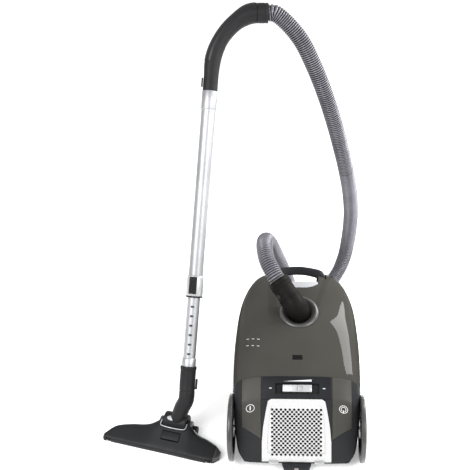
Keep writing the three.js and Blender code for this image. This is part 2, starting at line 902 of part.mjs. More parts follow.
// A place on the grip's middle line, and its direction, at a distance from the tube's end.
function gripFrame(distance) {
  let [x, z, angle, left] = [0, AT.grip, 0, distance];
  const forward = (length) => {
    x += length * Math.sin(angle);
    z += length * Math.cos(angle);
    left -= length;
  };
  forward(Math.min(left, GRIP.straight));
  GRIP.bends.forEach(({ radius, to }) => {
    const end = Math.min(to * RADIANS, angle + Math.max(left, 0) / radius);
    x += radius * (Math.cos(angle) - Math.cos(end));
    z += radius * (Math.sin(end) - Math.sin(angle));
    left -= radius * (end - angle);
    angle = end;
  });
  forward(Math.max(left, 0));
  const [s, c] = [Math.sin(angle), Math.cos(angle)];
  return {
    centre: new THREE.Vector3(x, 0, z),
    axis: new THREE.Vector3(s, 0, c),
    side: new THREE.Vector3(c, 0, -s),
  };
}

const GRIP_LENGTH = GRIP.bends.reduce(
  (sum, { radius, to }, i) => sum + radius * (to - (i ? GRIP.bends[i - 1].to : 0)) * RADIANS,
  GRIP.straight,
);

function gripRing(distance, wide, deep) {
  const { centre, side } = gripFrame(distance);
  const sides = 16;
  return Array.from({ length: sides }, (_, i) => {
    const angle = (2 * Math.PI * i) / sides;
    return centre
      .clone()
      .addScaledVector(side, wide * Math.cos(angle))
      .add(new THREE.Vector3(0, deep * Math.sin(angle), 0));
  });
}

function grip() {
  const stations = [
    [GAP, 16.6, 16.6],
    [34, 16.6, 16.6],
    [62, 18, 17.2],
    [90, 18, 17.4],
    [118, 17.6, 17.2],
    [145, 18.2, 17.4],
    [170, 19, 18],
    [192, 21.4, 19.4],
    [204, 22.4, 20.2],
    [GRIP_LENGTH, 22.4, 20.6],
  ];
  const outer = loft(stations.map(([at, wide, deep]) => gripRing(at, wide, deep)));
  const inner = [-2, 50, 74, 98, 122, 146, 170, 192, 206, GRIP_LENGTH + 0.01];
  const bore = loft(inner.map((at) => gripRing(at, 14, 14)));
  return cut(outer, bore);
}

add(wand, "grip", grip(), BLACK);

function atGripEnd(geometry) {
  const { centre, axis } = gripFrame(GRIP_LENGTH);
  const turn = new THREE.Quaternion().setFromUnitVectors(new THREE.Vector3(0, 0, 1), axis);
  return geometry.applyQuaternion(turn).translate(centre.x, centre.y, centre.z);
}

add(wand, "grip_cuff", atGripEnd(ring(22.4, 16, GAP, GRIP.cuff - GAP)), BLACK);
add(wand, "air_slide", block([-20.6, -17.4], [-7, 7], [AT.grip + 8, AT.grip + 28]), BLACK);

// ---- Hose ---------------------------------------------------------------------------------

const gripEnd = gripFrame(GRIP_LENGTH + GRIP.cuff);
wand.updateMatrix();
const HOSE_END = gripEnd.centre.clone().applyMatrix4(wand.matrix);
const HOSE_END_AXIS = gripEnd.axis.clone().transformDirection(wand.matrix);

// From the connector over the nose, down to the floor behind it, and up to the grip.
const HOSE_ROUTE = [
  [-66, 348, 323],
  [-73, 384, 331],
  [-74, 422, 325],
  [-70, 460, 304],
  [-62, 492, 269],
  [-51, 515, 224],
  [-38, 529, 178],
  [-26, 539, 134],
  [-14, 551, 92],
  [4, 569, 54],
  [28, 594, 28],
  [56, 622, 20],
  [86, 652, 30],
  [112, 677, 57],
  [128, 690, 95],
  [136, 696, 140],
  [140, 690, 190],
  [140, 673, 250],
  [134, 652, 320],
  [122, 631, 395],
  [106, 614, 470],
  [88, 604, 542],
  [67, 600, 612],
  [41, 600, 682],
  [9, 604, 748],
  [-28, 609, 792],
].map(([x, y, z]) => new THREE.Vector3(x, y, z));
const hosePoints = [
  HOSE_START,
  HOSE_START.clone().addScaledVector(SOCKET_AXIS, 12),
  ...HOSE_ROUTE,
  HOSE_END.clone().addScaledVector(HOSE_END_AXIS, 12),
  HOSE_END,
];
const hoseCurve = smooth(hosePoints);
const HOSE_PIECES = ["hose_lower", "hose_middle", "hose_upper"];
const HOSE_SPLITS = [0, 13, 22, hosePoints.length - 1];
const HOSE_TRIM = 0.0004; // half a joint between two pieces, as a share of the route
const HOSE_STEP = 46;

// One stretch of the hose, between two numbered points of its route.
class HoseStretch extends THREE.Curve {
  constructor(first, last) {
    super();
    this.start = first / (hosePoints.length - 1) + HOSE_TRIM;
    this.end = last / (hosePoints.length - 1) - HOSE_TRIM;
  }

  getPoint(t) {
    return hoseCurve.getPoint(THREE.MathUtils.lerp(this.start, this.end, t));
  }
}

function hosePiece(first, last) {
  const stretch = new HoseStretch(first, last);
  const steps = Math.ceil(stretch.getLength() / HOSE_STEP);
  return tube(stretch, HOSE_RADIUS, HOSE_RADIUS - 1.8, steps, 10);
}

HOSE_PIECES.forEach((name, i) => {
  add(machine, name, hosePiece(HOSE_SPLITS[i], HOSE_SPLITS[i + 1]), HOSE_GREY);
});

// ---- Floor head ---------------------------------------------------------------------------

// Its own frame: x along its width from the neck's pivot, y from its front edge, z up.
const HEAD = { left: 153, right: 118, nominal: 131, hub: 34, pivotY: 74, wall: 2.5 };
const head = new THREE.Group();
head.rotation.z = HEAD_YAW * RADIANS;
head.position.copy(new THREE.Vector3(0, -HEAD.pivotY, 0).applyEuler(head.rotation).add(PIVOT).setZ(0));
machine.add(head);

// Plan and height of a head whose arms are of the nominal length. The left end runs to a point
// at the front and the right end is cut back there.
const REAR_MIDDLE = [
  [0, 92],
  [30, 88],
  [38, 74],
  [56, 62],
  [90, 53],
];
const headRear = {
  left: through([...REAR_MIDDLE, [113, 43], [122, 32], [HEAD.nominal, 15]]),
  right: through([...REAR_MIDDLE, [111, 46], [120, 42], [HEAD.nominal, 34]]),
};
const headFront = {
  left: through([[0, 4], [HEAD.nominal, 4]]),
  right: through([[0, 4], [108, 4], [121, 9], [HEAD.nominal, 21]]),
};
const headTop = through([
  [0, 47],
  [30, 46],
  [38, 40],
  [56, 31],
  [90, 27],
  [118, 23],
  [HEAD.nominal, 17],
]);

// The place on the nominal head that lies at x on the real one, whose arms differ in length.
function nominalPlace(x) {
  const arm = x < 0 ? HEAD.left : HEAD.right;
  const beyond = Math.max(Math.abs(x) - HEAD.hub, 0) / (arm - HEAD.hub);
  return Math.min(Math.abs(x), HEAD.hub) + beyond * (HEAD.nominal - HEAD.hub);
}

function headSection(x, inset, floor) {
  const place = nominalPlace(x);
  const side = x < 0 ? "left" : "right";
  const [front, rear] = [headFront[side](place) + inset, headRear[side](place) - inset];
  const top = headTop(place) - inset;
  const depth = rear - front;
  return [
    [front, floor],
    [front, 11],
    [front + 2, 15],
    [front + 0.3 * depth, 15 + 0.38 * (top - 15)],
    [front + 0.6 * depth, 15 + 0.82 * (top - 15)],
    [front + 0.78 * depth, top],
    [front + 0.92 * depth, top - 2],
    [rear, 0.65 * top],
    [rear, floor],
  ].map(([y, z]) => new THREE.Vector3(x, y, z));
}

function headSolid(inset, floor) {
  const shares = [0, 0.08, 0.22, 0.5, 0.78, 0.9, 1];
  const arm = (end) => shares.map((share) => HEAD.hub + share * (end - inset - HEAD.hub));
  const stations = [...arm(HEAD.right).reverse(), 0, ...arm(HEAD.left).map((x) => -x)];
  return loft(stations.map((x) => headSection(x, inset, floor)));
}

const MODE = { halfWidth: 21, front: 25, rear: 43, axis: 34, z: 29, slope: 24 };
const ROLLER = { left: -141, right: 97, y: 11, radius: 6, halfWidth: 4 };
const REAR_WHEEL = { x: 41, y: 79, radius: 12, halfWidth: 4.5 };
const BRUSH = { left: -126, right: 96, y: 30, depth: 5 };
const rollerPlaces = [ROLLER.left, ROLLER.right];
const rearWheelPlaces = [-REAR_WHEEL.x, REAR_WHEEL.x];

const drumSlot = (grow) =>
  block(
    [-DRUM.half - 1.5 - grow, DRUM.half + 1.5 + grow],
    [HEAD.pivotY - DRUM.radius - 5 - grow, 120],
    [-5, 80],
  );

const modeBlock = (grow, low, high) =>
  block([-MODE.halfWidth - grow, MODE.halfWidth + grow], [MODE.front - grow, MODE.rear + grow], [low, high]);

function headShell() {
  const wheelArch = (x) => cylinderX(REAR_WHEEL.radius + 1.5, x - 6, x + 6, REAR_WHEEL.y, REAR_WHEEL.radius);
  return cut(
    cut(headSolid(0, 6), drumSlot(0)),
    cut(headSolid(HEAD.wall, 0), drumSlot(HEAD.wall)),
    modeBlock(1, 10, 80),
    ...rearWheelPlaces.map(wheelArch),
    ...rollerPlaces.map((x) => block([x - 5.5, x + 5.5], [-5, ROLLER.y + 7.5], [-5, 13])),
  );
}

function solePlate() {
  const blank = common(headSolid(0.5, 2.6), block([-200, 200], [-50, 150], [0, 5.6]));
  const brushReach = BRUSH.depth + 1.5;
  return cut(
    blank,
    block([-DRUM.half - 8, DRUM.half + 8], [52, 120], [-5, 20]),
    block([BRUSH.left - 2, BRUSH.right + 2], [BRUSH.y - brushReach, BRUSH.y + brushReach], [-5, 20]),
    ...rollerPlaces.map((x) => block([x - 6, x + 6], [-5, ROLLER.y + 8], [-5, 20])),
    ...rearWheelPlaces.map((x) => block([x - 7, x + 7], [REAR_WHEEL.y - 15, 120], [-5, 20])),
  );
}

function modePedal() {
  return modeBlock(0, -3, 3)
    .translate(0, -MODE.axis, 0)
    .rotateX(MODE.slope * RADIANS)
    .translate(0, MODE.axis, MODE.z);
}

add(head, "head_shell", headShell(), BLACK);
add(head, "sole_plate", solePlate(), BLACK);
add(head, "mode_pedal", modePedal(), BLACK);
add(
  head,
  "brush_frame",
  block([BRUSH.left, BRUSH.right], [BRUSH.y - BRUSH.depth, BRUSH.y + BRUSH.depth], [5.5, 8]),
  BLACK,
);
add(
  head,
  "brush_strip",
  block([BRUSH.left + 2, BRUSH.right - 2], [BRUSH.y - 3, BRUSH.y + 3], [0.5, 5.1]),
  PAPER,
);

const wheelAt = (x, y, radius, half) => cylinderX(radius, x - half, x + half, y, radius);

["left", "right"].forEach((side, i) => {
  const [wheelX, rollerX] = [rearWheelPlaces[i], rollerPlaces[i]];
  const wheel = wheelAt(wheelX, REAR_WHEEL.y, REAR_WHEEL.radius, REAR_WHEEL.halfWidth);
  add(head, `head_wheel_${side}`, wheel, RUBBER);
  add(head, `head_roller_${side}`, wheelAt(rollerX, ROLLER.y, ROLLER.radius, ROLLER.halfWidth), RUBBER);
});

// ---- Origin: the middle of the floor under everything but the hose -------------------------

machine.updateMatrixWorld(true);
const box = new THREE.Box3();
machine.traverse((piece) => {
  if (piece.isMesh && !HOSE_PIECES.includes(piece.name)) {
    box.expandByObject(piece, true);
  }
});
machine.position.set(-(box.min.x + box.max.x) / 2, -(box.min.y + box.max.y) / 2, -box.min.z);

export default machine;
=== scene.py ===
"""Bagged cylinder vacuum cleaner: the looks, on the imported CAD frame. Metres throughout.

Shapes are built in the machine's own coordinates: x from its middle plane, y from behind its
exhaust towards its nose, z from the floor. finish_piece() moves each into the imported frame.
"""

import json
import math

import bpy
import numpy as np
from mathutils import Matrix, Vector


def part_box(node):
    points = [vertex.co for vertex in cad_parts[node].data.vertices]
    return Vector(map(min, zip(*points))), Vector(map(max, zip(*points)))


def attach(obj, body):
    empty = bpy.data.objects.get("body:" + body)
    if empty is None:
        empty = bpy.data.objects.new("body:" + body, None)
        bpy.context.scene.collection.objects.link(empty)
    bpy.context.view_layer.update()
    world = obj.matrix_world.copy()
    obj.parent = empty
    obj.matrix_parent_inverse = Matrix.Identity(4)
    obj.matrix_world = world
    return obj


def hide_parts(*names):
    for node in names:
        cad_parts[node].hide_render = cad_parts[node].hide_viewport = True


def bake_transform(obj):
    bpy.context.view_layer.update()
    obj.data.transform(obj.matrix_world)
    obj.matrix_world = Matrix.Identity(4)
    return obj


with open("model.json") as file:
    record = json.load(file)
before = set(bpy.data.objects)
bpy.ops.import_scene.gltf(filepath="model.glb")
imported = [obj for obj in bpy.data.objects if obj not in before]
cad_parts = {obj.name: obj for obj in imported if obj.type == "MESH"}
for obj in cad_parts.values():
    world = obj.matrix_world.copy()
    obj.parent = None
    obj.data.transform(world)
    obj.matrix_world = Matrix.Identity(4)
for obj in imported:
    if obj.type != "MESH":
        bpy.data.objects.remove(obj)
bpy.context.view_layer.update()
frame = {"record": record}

# ---- Driving dimensions -------------------------------------------------------------------

AXLE_Y = 0.075
WHEEL_RADIUS = 0.073
AXLE_HOLE = 0.0064
REAR_Y, SEAM_Y, NOSE_Y = 0.020, 0.119, 0.450
GAP = 0.0004
WALL = 0.0035
LID_STEP = 0.0025
LID_WALL = 0.003
SIDES = 112  # round the body
STATIONS = 110  # along the body

PLAN_LINE = [(0.020, 0.112), (0.032, 0.124), (0.050, 0.130), (0.076, 0.1346), (0.130, 0.1395),
             (0.220, 0.142), (0.275, 0.1405), (0.340, 0.134), (0.385, 0.121), (0.412, 0.107),
             (0.428, 0.095), (0.440, 0.081), (0.447, 0.065), (0.450, 0.050)]
TOP_LINE = [(0.020, 0.029), (0.076, 0.149), (0.090, 0.163), (0.104, 0.1745), (0.119, 0.184),
            (0.165, 0.204), (0.232, 0.227), (0.282, 0.234), (0.400, 0.237), (0.432, 0.230),
            (0.450, 0.216)]
RIM_LINE = [(0.000, 0.010), (0.020, 0.027), (0.118, 0.112), (0.230, 0.141), (0.340, 0.173),
            (0.425, 0.207), (0.470, 0.222)]
BOTTOM_LINE = [(0.020, 0.024), (0.360, 0.024), (0.400, 0.038), (0.430, 0.072), (0.450, 0.118)]
DOME_LINE = [(0.020, 5), (0.090, 4.5), (0.165, 3.2), (0.450, 3)]

HOSE_RADIUS = 0.019
HOSE_START = Vector((-0.042, 0.312, 0.296))
SOCKET_AXIS = Vector((-0.56, 0.54, 0.63)).normalized()
HOSE_ROUTE = [
    (-0.066, 0.348, 0.323), (-0.073, 0.384, 0.331), (-0.074, 0.422, 0.325),
    (-0.070, 0.460, 0.304), (-0.062, 0.492, 0.269), (-0.051, 0.515, 0.224),
    (-0.038, 0.529, 0.178), (-0.026, 0.539, 0.134), (-0.014, 0.551, 0.092),
    (0.004, 0.569, 0.054), (0.028, 0.594, 0.028), (0.056, 0.622, 0.020),
    (0.086, 0.652, 0.030), (0.112, 0.677, 0.057), (0.128, 0.690, 0.095),
    (0.136, 0.696, 0.140), (0.140, 0.690, 0.190), (0.140, 0.673, 0.250),
    (0.134, 0.652, 0.320), (0.122, 0.631, 0.395), (0.106, 0.614, 0.470),
    (0.088, 0.604, 0.542), (0.067, 0.600, 0.612), (0.041, 0.600, 0.682),
    (0.009, 0.604, 0.748), (-0.028, 0.609, 0.792),
]
HOSE_SPLITS = [0, 13, 22]
HOSE_BODIES = [("lid", "canister"), ("canister", "wand_lower"), ("wand_lower", "wand_upper")]

PIVOT = Vector((-0.269, 0.127, 0.036))
WAND_BASE = Vector((-0.245, 0.135, 0.095))
WAND_AXIS = Vector((0.0787, 0.5446, 0.835)).normalized()
HEAD_YAW = math.radians(-15)
GRIP_STRAIGHT, GRIP_CUFF = 0.050, 0.026
GRIP_BENDS = [(0.146, math.radians(56)), (0.052, math.radians(86))]  # radius, angle reached
LOWER_TUBE, UPPER_TUBE = 0.014, 0.016
# Distances along the wand from its base.
AT_LOWER_START, AT_NECK_TOP, AT_LATCH, AT_UPPER = 0.054, 0.068, 0.2294, 0.278
AT_LOWER_END, AT_SOCKET, AT_GRIP = 0.560, 0.645, 0.687
NECK_COLLAR_TOP = AT_NECK_TOP + 0.008
NECK_BORE_END = 0.090  # the neck's socket runs past its own top

# ---- Frames ---------------------------------------------------------------------------------

wheel_low, wheel_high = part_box("wheel_left")
other_low, other_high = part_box("wheel_right")
ORIGIN = Vector((
    (wheel_low[0] + other_high[0]) / 2,
    (wheel_low[1] + wheel_high[1]) / 2 - AXLE_Y,
    0,
))
TO_ROW = Matrix.Translation(ORIGIN)


def frame_of(x_axis, y_axis, z_axis, origin):
    matrix = Matrix((x_axis, y_axis, z_axis)).transposed().to_4x4()
    matrix.translation = origin
    return matrix


wand_right = Vector((0.995, 0.012, -0.101))
wand_right = (wand_right - wand_right.dot(WAND_AXIS) * WAND_AXIS).normalized()
WAND = frame_of(wand_right, WAND_AXIS.cross(wand_right), WAND_AXIS, WAND_BASE)
HEAD = Matrix.Translation((PIVOT.x, PIVOT.y, 0)) @ Matrix.Rotation(HEAD_YAW, 4, "Z")
HEAD = HEAD @ Matrix.Translation((0, -0.074, 0))
INLET = Matrix.Translation((0.006, 0.275, 0.232)) @ Matrix.Rotation(math.radians(17), 4, "X")


def aim(direction, origin):
    """A frame whose z axis points along direction."""
    turn = Vector((0, 0, 1)).rotation_difference(direction).to_matrix().to_4x4()
    return Matrix.Translation(origin) @ turn


# ---- Camera -----------------------------------------------------------------------------------

def add_camera():
    pitch, yaw, roll = math.radians(33.5), math.radians(-4.553), math.radians(-2.517)
    data = bpy.data.cameras.new("camera")
    data.sensor_width = 36
    data.lens = 71.0043
    camera = bpy.data.objects.new("camera", data)
    bpy.context.scene.collection.objects.link(camera)
    forward = Vector((math.sin(yaw) * math.cos(pitch), math.cos(yaw) * math.cos(pitch), -math.sin(pitch)))
    right = forward.cross(Vector((0, 0, 1))).normalized()
    up = right.cross(forward)
    tilted_right = right * math.cos(roll) + up * math.sin(roll)
    tilted_up = tilted_right.cross(forward)
    place = ORIGIN + Vector((0, -1.3688, 1.5335))
    camera.matrix_world = frame_of(tilted_right, tilted_up, -forward, place)
    bpy.context.scene.camera = camera


add_camera()

# ---- Materials --------------------------------------------------------------------------------

def new_material(name):
    material = bpy.data.materials.new(name)
    material.use_nodes = True
    nodes = material.node_tree.nodes
    return material, nodes, material.node_tree.links, nodes["Principled BSDF"]


def noise(nodes, links, scale, detail, stretch=(1, 1, 1)):
    """Noise in object coordinates, stretched along the axes."""
    place = nodes.new("ShaderNodeTexCoord")
    mapping = nodes.new("ShaderNodeMapping")
    mapping.inputs["Scale"].default_value = stretch
    texture = nodes.new("ShaderNodeTexNoise")
    texture.inputs["Scale"].default_value = scale
    texture.inputs["Detail"].default_value = detail
    links.new(place.outputs["Object"], mapping.inputs["Vector"])
    links.new(mapping.outputs["Vector"], texture.inputs["Vector"])
    return texture.outputs["Fac"]


def ramp(nodes, links, factor, low, high):
    """A colour that runs from low to high over the middle of factor's range."""
    node = nodes.new("ShaderNodeValToRGB")
    node.color_ramp.elements[0].position = 0.35
    node.color_ramp.elements[1].position = 0.65
    node.color_ramp.elements[0].color = (*low, 1)
    node.color_ramp.elements[1].color = (*high, 1)
    links.new(factor, node.inputs["Fac"])
    return node.outputs["Color"]


def span(nodes, links, factor, low, high):
    """A value that runs from low to high over the middle of factor's range."""
    node = nodes.new("ShaderNodeMapRange")
    node.inputs["From Min"].default_value = 0.3
    node.inputs["From Max"].default_value = 0.7
    node.inputs["To Min"].default_value = low
    node.inputs["To Max"].default_value = high
    links.new(factor, node.inputs["Value"])
    return node.outputs["Result"]


def add_bump(nodes, links, shader, height, distance, edge=0.0):
    """Relief of the given depth; edge is the radius of the rounding drawn on sharp edges."""
    bump = nodes.new("ShaderNodeBump")
    bump.inputs["Strength"].default_value = 1.0
    bump.inputs["Distance"].default_value = distance
    links.new(height, bump.inputs["Height"])
    if edge:
        bevel = nodes.new("ShaderNodeBevel")
        bevel.samples = 4
        bevel.inputs["Radius"].default_value = edge
        links.new(bevel.outputs["Normal"], bump.inputs["Normal"])
    links.new(bump.outputs["Normal"], shader.inputs["Normal"])


def moulded(name, color, roughness, grain=900, depth=0.00004, vary=0.12, coat=0.0, metallic=0.0,
            specular=0.5):
    """Moulded or painted plastic: fine grain, slow colour drift and uneven gloss from handling."""
    material, nodes, links, shader = new_material(name)
    drift = noise(nodes, links, 9, 3)
    fine = noise(nodes, links, grain, 2)
    smear = noise(nodes, links, 34, 6, (1, 1, 0.4))
    low = tuple(c * (1 - vary) for c in color)
    high = tuple(min(c * (1 + vary), 1) for c in color)
    links.new(ramp(nodes, links, drift, low, high), shader.inputs["Base Color"])
    links.new(span(nodes, links, smear, roughness * 0.82, roughness * 1.2), shader.inputs["Roughness"])
    shader.inputs["Metallic"].default_value = metallic
    shader.inputs["Coat Weight"].default_value = coat
    shader.inputs["Coat Roughness"].default_value = 0.03
    shader.inputs["Specular IOR Level"].default_value = specular
    add_bump(nodes, links, shader, fine, depth, edge=0.0008)
    return material


TAUPE = (0.041, 0.0395, 0.0345)


def lid_plastic():
    """The lid's taupe plastic, with a clear gloss on its upper side only."""
    material = moulded("lid_taupe", TAUPE, 0.42, depth=0.000003, vary=0.05, specular=0.0)
    nodes, links = material.node_tree.nodes, material.node_tree.links
    shader = nodes["Principled BSDF"]
    surface = nodes.new("ShaderNodeTexCoord")
    parts = nodes.new("ShaderNodeSeparateXYZ")
    gloss = nodes.new("ShaderNodeMapRange")
    gloss.inputs["From Min"].default_value = 0.55
    gloss.inputs["From Max"].default_value = 0.72
    gloss.inputs["To Max"].default_value = 0.34
    links.new(surface.outputs["Normal"], parts.inputs["Vector"])
    links.new(parts.outputs["Z"], gloss.inputs["Value"])
    links.new(gloss.outputs["Result"], shader.inputs["Coat Weight"])
    return material


def brushed_tube():
    """Anodised tube: fine drawing lines along its length."""
    material, nodes, links, shader = new_material("wand_tube")
    along = WAND_AXIS
    place = nodes.new("ShaderNodeTexCoord")
    turn = nodes.new("ShaderNodeMapping")
    turn.inputs["Rotation"].default_value = (math.atan2(along.y, along.z), -math.asin(along.x), 0)
    turn.inputs["Scale"].default_value = (1, 1, 0.012)
    lines = nodes.new("ShaderNodeTexNoise")
    lines.inputs["Scale"].default_value = 1400
    lines.inputs["Detail"].default_value = 3
    links.new(place.outputs["Object"], turn.inputs["Vector"])
    links.new(turn.outputs["Vector"], lines.inputs["Vector"])
    cloud = noise(nodes, links, 14, 4)
    color = ramp(nodes, links, cloud, (0.33, 0.335, 0.345), (0.39, 0.395, 0.405))
    links.new(color, shader.inputs["Base Color"])
    links.new(span(nodes, links, lines.outputs["Fac"], 0.38, 0.52), shader.inputs["Roughness"])
    shader.inputs["Metallic"].default_value = 0.85
    add_bump(nodes, links, shader, lines.outputs["Fac"], 0.00002)
    return material


def hose_plastic(name, low, high):
    """Scuffed hose plastic between two tones."""
    material, nodes, links, shader = new_material(name)
    cloud = noise(nodes, links, 22, 5)
    scuff = noise(nodes, links, 420, 3)
    links.new(ramp(nodes, links, cloud, low, high), shader.inputs["Base Color"])
    links.new(span(nodes, links, scuff, 0.28, 0.42), shader.inputs["Roughness"])
    shader.inputs["Metallic"].default_value = 0.35
    add_bump(nodes, links, shader, scuff, 0.00008)
    return material


def fibrous(name, low, high, scale):
    """Fleece, card or foam: coarse fibres and pits."""
    material, nodes, links, shader = new_material(name)
    fibre = noise(nodes, links, scale, 8, (1, 1, 3))
    links.new(ramp(nodes, links, fibre, low, high), shader.inputs["Base Color"])
    shader.inputs["Roughness"].default_value = 0.95
    add_bump(nodes, links, shader, fibre, 0.0004)
    return material


def floor_material():
    material, nodes, links, shader = new_material("floor")
    cloud = noise(nodes, links, 3, 3)
    links.new(ramp(nodes, links, cloud, (0.9, 0.9, 0.9), (0.93, 0.93, 0.93)), shader.inputs["Base Color"])
    shader.inputs["Roughness"].default_value = 0.9
    shader.inputs["Emission Color"].default_value = (1, 1, 1, 1)
    shader.inputs["Emission Strength"].default_value = 0.3
    shader.inputs["Specular IOR Level"].default_value = 0.1
    return material


MATERIALS = {
    "black_shell": moulded("black_shell", (0.019, 0.0195, 0.021), 0.5, specular=0.08),
    "taupe": moulded("taupe", TAUPE, 0.42, depth=0.00001, vary=0.05, specular=0.2),
    "lid_taupe": lid_plastic(),
    "panel": moulded("panel", (0.007, 0.0075, 0.0095), 0.35, depth=0.000005, vary=0.08, specular=0.2),
    "silver_trim": moulded("silver_trim", (0.42, 0.425, 0.43), 0.3, vary=0.05, metallic=0.5),
    "light_grey": moulded("light_grey", (0.36, 0.365, 0.38), 0.35, vary=0.04),
    "white_grille": moulded("white_grille", (0.47, 0.47, 0.47), 0.4, grain=600, vary=0.02, specular=0.3),
    "window": moulded("window", (0.004, 0.004, 0.004), 0.1, depth=0.000002, specular=0.2),
    "connector": moulded("connector", (0.0048, 0.0044, 0.0034), 0.55, grain=500, depth=0.00008, vary=0.2,
                         specular=0.08),
    "rubber": moulded("rubber", (0.007, 0.007, 0.007), 0.6, grain=420, depth=0.00012, vary=0.25,
                      specular=0.2),
    "wheel": moulded("wheel", (0.048, 0.048, 0.047), 0.3, vary=0.08, metallic=0.35, coat=0.2),
    "motor_steel": moulded("motor_steel", (0.5, 0.5, 0.5), 0.3, metallic=1.0, vary=0.05),
    "copper": moulded("copper", (0.5, 0.24, 0.11), 0.35, grain=1500, depth=0.0001, metallic=1.0),
    # The filter's near-black colour is painted shade: the fleece seen through the grille holes is darkened to
    # stand in for the shade behind them.
    "filter": fibrous("filter", (0.008, 0.008, 0.009), (0.02, 0.02, 0.022), 700),
    "paper": fibrous("paper", (0.4, 0.36, 0.27), (0.5, 0.46, 0.35), 380),
    "bristle": fibrous("bristle", (0.2, 0.17, 0.12), (0.4, 0.36, 0.28), 900),
    "wand_plastic": moulded("wand_plastic", (0.010, 0.010, 0.011), 0.5, grain=700, depth=0.00006, vary=0.15,
                            specular=0.2),
    "head_plastic": moulded("head_plastic", (0.0095, 0.0098, 0.011), 0.46, grain=650, depth=0.00006,
                            vary=0.15, specular=0.22),
    "ring_gloss": moulded("ring_gloss", (0.045, 0.045, 0.044), 0.3, coat=0.12),
    "grip_gloss": moulded("grip_gloss", (0.011, 0.011, 0.012), 0.3, depth=0.00002, specular=0.3),
    "print": moulded("print", (0.6, 0.6, 0.61), 0.5, vary=0.03),
    "wand_tube": brushed_tube(),
    "hose": hose_plastic("hose", (0.112, 0.109, 0.125), (0.145, 0.142, 0.16)),
    # The valley colour is painted shade: the faces between the ribs are darkened to stand in for the shade
    # that falls there.
    "hose_valley_shade": hose_plastic("hose_valley_shade", (0.012, 0.0115, 0.0145), (0.022, 0.0215, 0.026)),
}

# ---- Mesh helpers -----------------------------------------------------------------------------

def through(pairs):
    """A smooth function through (position, value) pairs."""
    def slope(i):
        before, after = pairs[max(i - 1, 0)], pairs[min(i + 1, len(pairs) - 1)]
        return (after[1] - before[1]) / (after[0] - before[0])

    def value(position):
        i = 0
        while i < len(pairs) - 2 and position > pairs[i + 1][0]:
            i += 1
        (p0, v0), (p1, v1) = pairs[i], pairs[i + 1]
        width = p1 - p0
        t = min(max((position - p0) / width, 0), 1)
        return (
            v0 * (2 * t**3 - 3 * t**2 + 1)
            + slope(i) * width * (t**3 - 2 * t**2 + t)
            + v1 * (3 * t**2 - 2 * t**3)
            + slope(i + 1) * width * (t**3 - t**2)
        )

    return value


def mesh_object(vertices, faces, matrix=None):
    mesh = bpy.data.meshes.new("shape")
    mesh.from_pydata([tuple(v) for v in vertices], [], faces)
    if matrix is not None:
        mesh.transform(matrix)
    shape = bpy.data.objects.new("shape", mesh)
    bpy.context.scene.collection.objects.link(shape)
    return shape


def loft(rings, matrix=None, closed=False):
    """A closed body through rings of equally many points; closed joins the last ring to the first."""
    count = len(rings[0])
    vertices = [p for ring in rings for p in ring]
    faces = []
    last = len(rings) if closed else len(rings) - 1
    for r in range(last):
        for i in range(count):
            j = (i + 1) % count
            a, b = r * count, ((r + 1) % len(rings)) * count
            faces.append((a + i, a + j, b + j, b + i))
    if not closed:
        faces.append(tuple(reversed(range(count))))
        faces.append(tuple(range(len(vertices) - count, len(vertices))))
    return outward(mesh_object(vertices, faces, matrix))


def outward(shape):
    """Turns all faces of a closed body outwards."""
    mesh = shape.data
    mesh.calc_loop_triangles()
    points = np.array([v.co for v in mesh.vertices])
    corners = points[np.array([t.vertices[:] for t in mesh.loop_triangles])]
    volume = np.einsum("ij,ij->i", corners[:, 0], np.cross(corners[:, 1], corners[:, 2])).sum()
    if volume < 0:
        mesh.flip_normals()
    return shape


def prism(outline, low, high, axes="XYZ"):
    """A straight body: outline in the first two axes, extruded along the third from low to high."""
    order = ["XYZ".index(axis) for axis in axes]
    rings = []
    for level in (low, high):
        ring = []
        for a, b in outline:
            point = [0.0, 0.0, 0.0]
            point[order[0]], point[order[1]], point[order[2]] = a, b, level
            ring.append(point)
        rings.append(ring)
    return loft(rings)


def block(x, y, z, matrix=None):
    rings = [[(x[0], y[0], h), (x[1], y[0], h), (x[1], y[1], h), (x[0], y[1], h)] for h in z]
    return loft(rings, matrix)


def circle(radius, sides):
    return [(radius * math.cos(2 * math.pi * i / sides), radius * math.sin(2 * math.pi * i / sides))
            for i in range(sides)]


def rod(radius, low, high, matrix=None, sides=64):
    return loft([[(x, y, level) for x, y in circle(radius, sides)] for level in (low, high)], matrix)


def rod_x(radius, low, high, y, z, sides=64):
    turn = Matrix.Translation((0, y, z)) @ Matrix.Rotation(math.pi / 2, 4, "Y")
    return rod(radius, low, high, turn, sides)


def lathe(profile, matrix=None, sides=72):
    """A ring-shaped body from a closed outline of (radius, height) pairs."""
    rings = []
    for i in range(sides):
        angle = 2 * math.pi * i / sides
        rings.append([(r * math.cos(angle), r * math.sin(angle), h) for r, h in profile])
    return loft(rings, matrix, closed=True)


def turned_disc(profile, middle_low, middle_high, matrix, sides=96):
    """A turned body whose ends are closed by points on its axis."""
    steps = len(profile)
    vertices = [(r * c, r * s, h) for c, s in circle(1, sides) for r, h in profile]
    vertices += [(0, 0, middle_low), (0, 0, middle_high)]
    faces = []
    for i in range(sides):
        a, b = i * steps, ((i + 1) % sides) * steps
        for k in range(steps - 1):
            faces.append((a + k, b + k, b + k + 1, a + k + 1))
        faces.append((sides * steps, b, a))
        faces.append((sides * steps + 1, a + steps - 1, b + steps - 1))
    return outward(mesh_object(vertices, faces, matrix))


def gathered(shapes):
    """Several shapes as one object, side by side."""
    vertices, faces = [], []
    for shape in shapes:
        start = len(vertices)
        vertices += [v.co.copy() for v in shape.data.vertices]
        faces += [tuple(start + i for i in p.vertices) for p in shape.data.polygons]
    discard(*shapes)
    return mesh_object(vertices, faces)


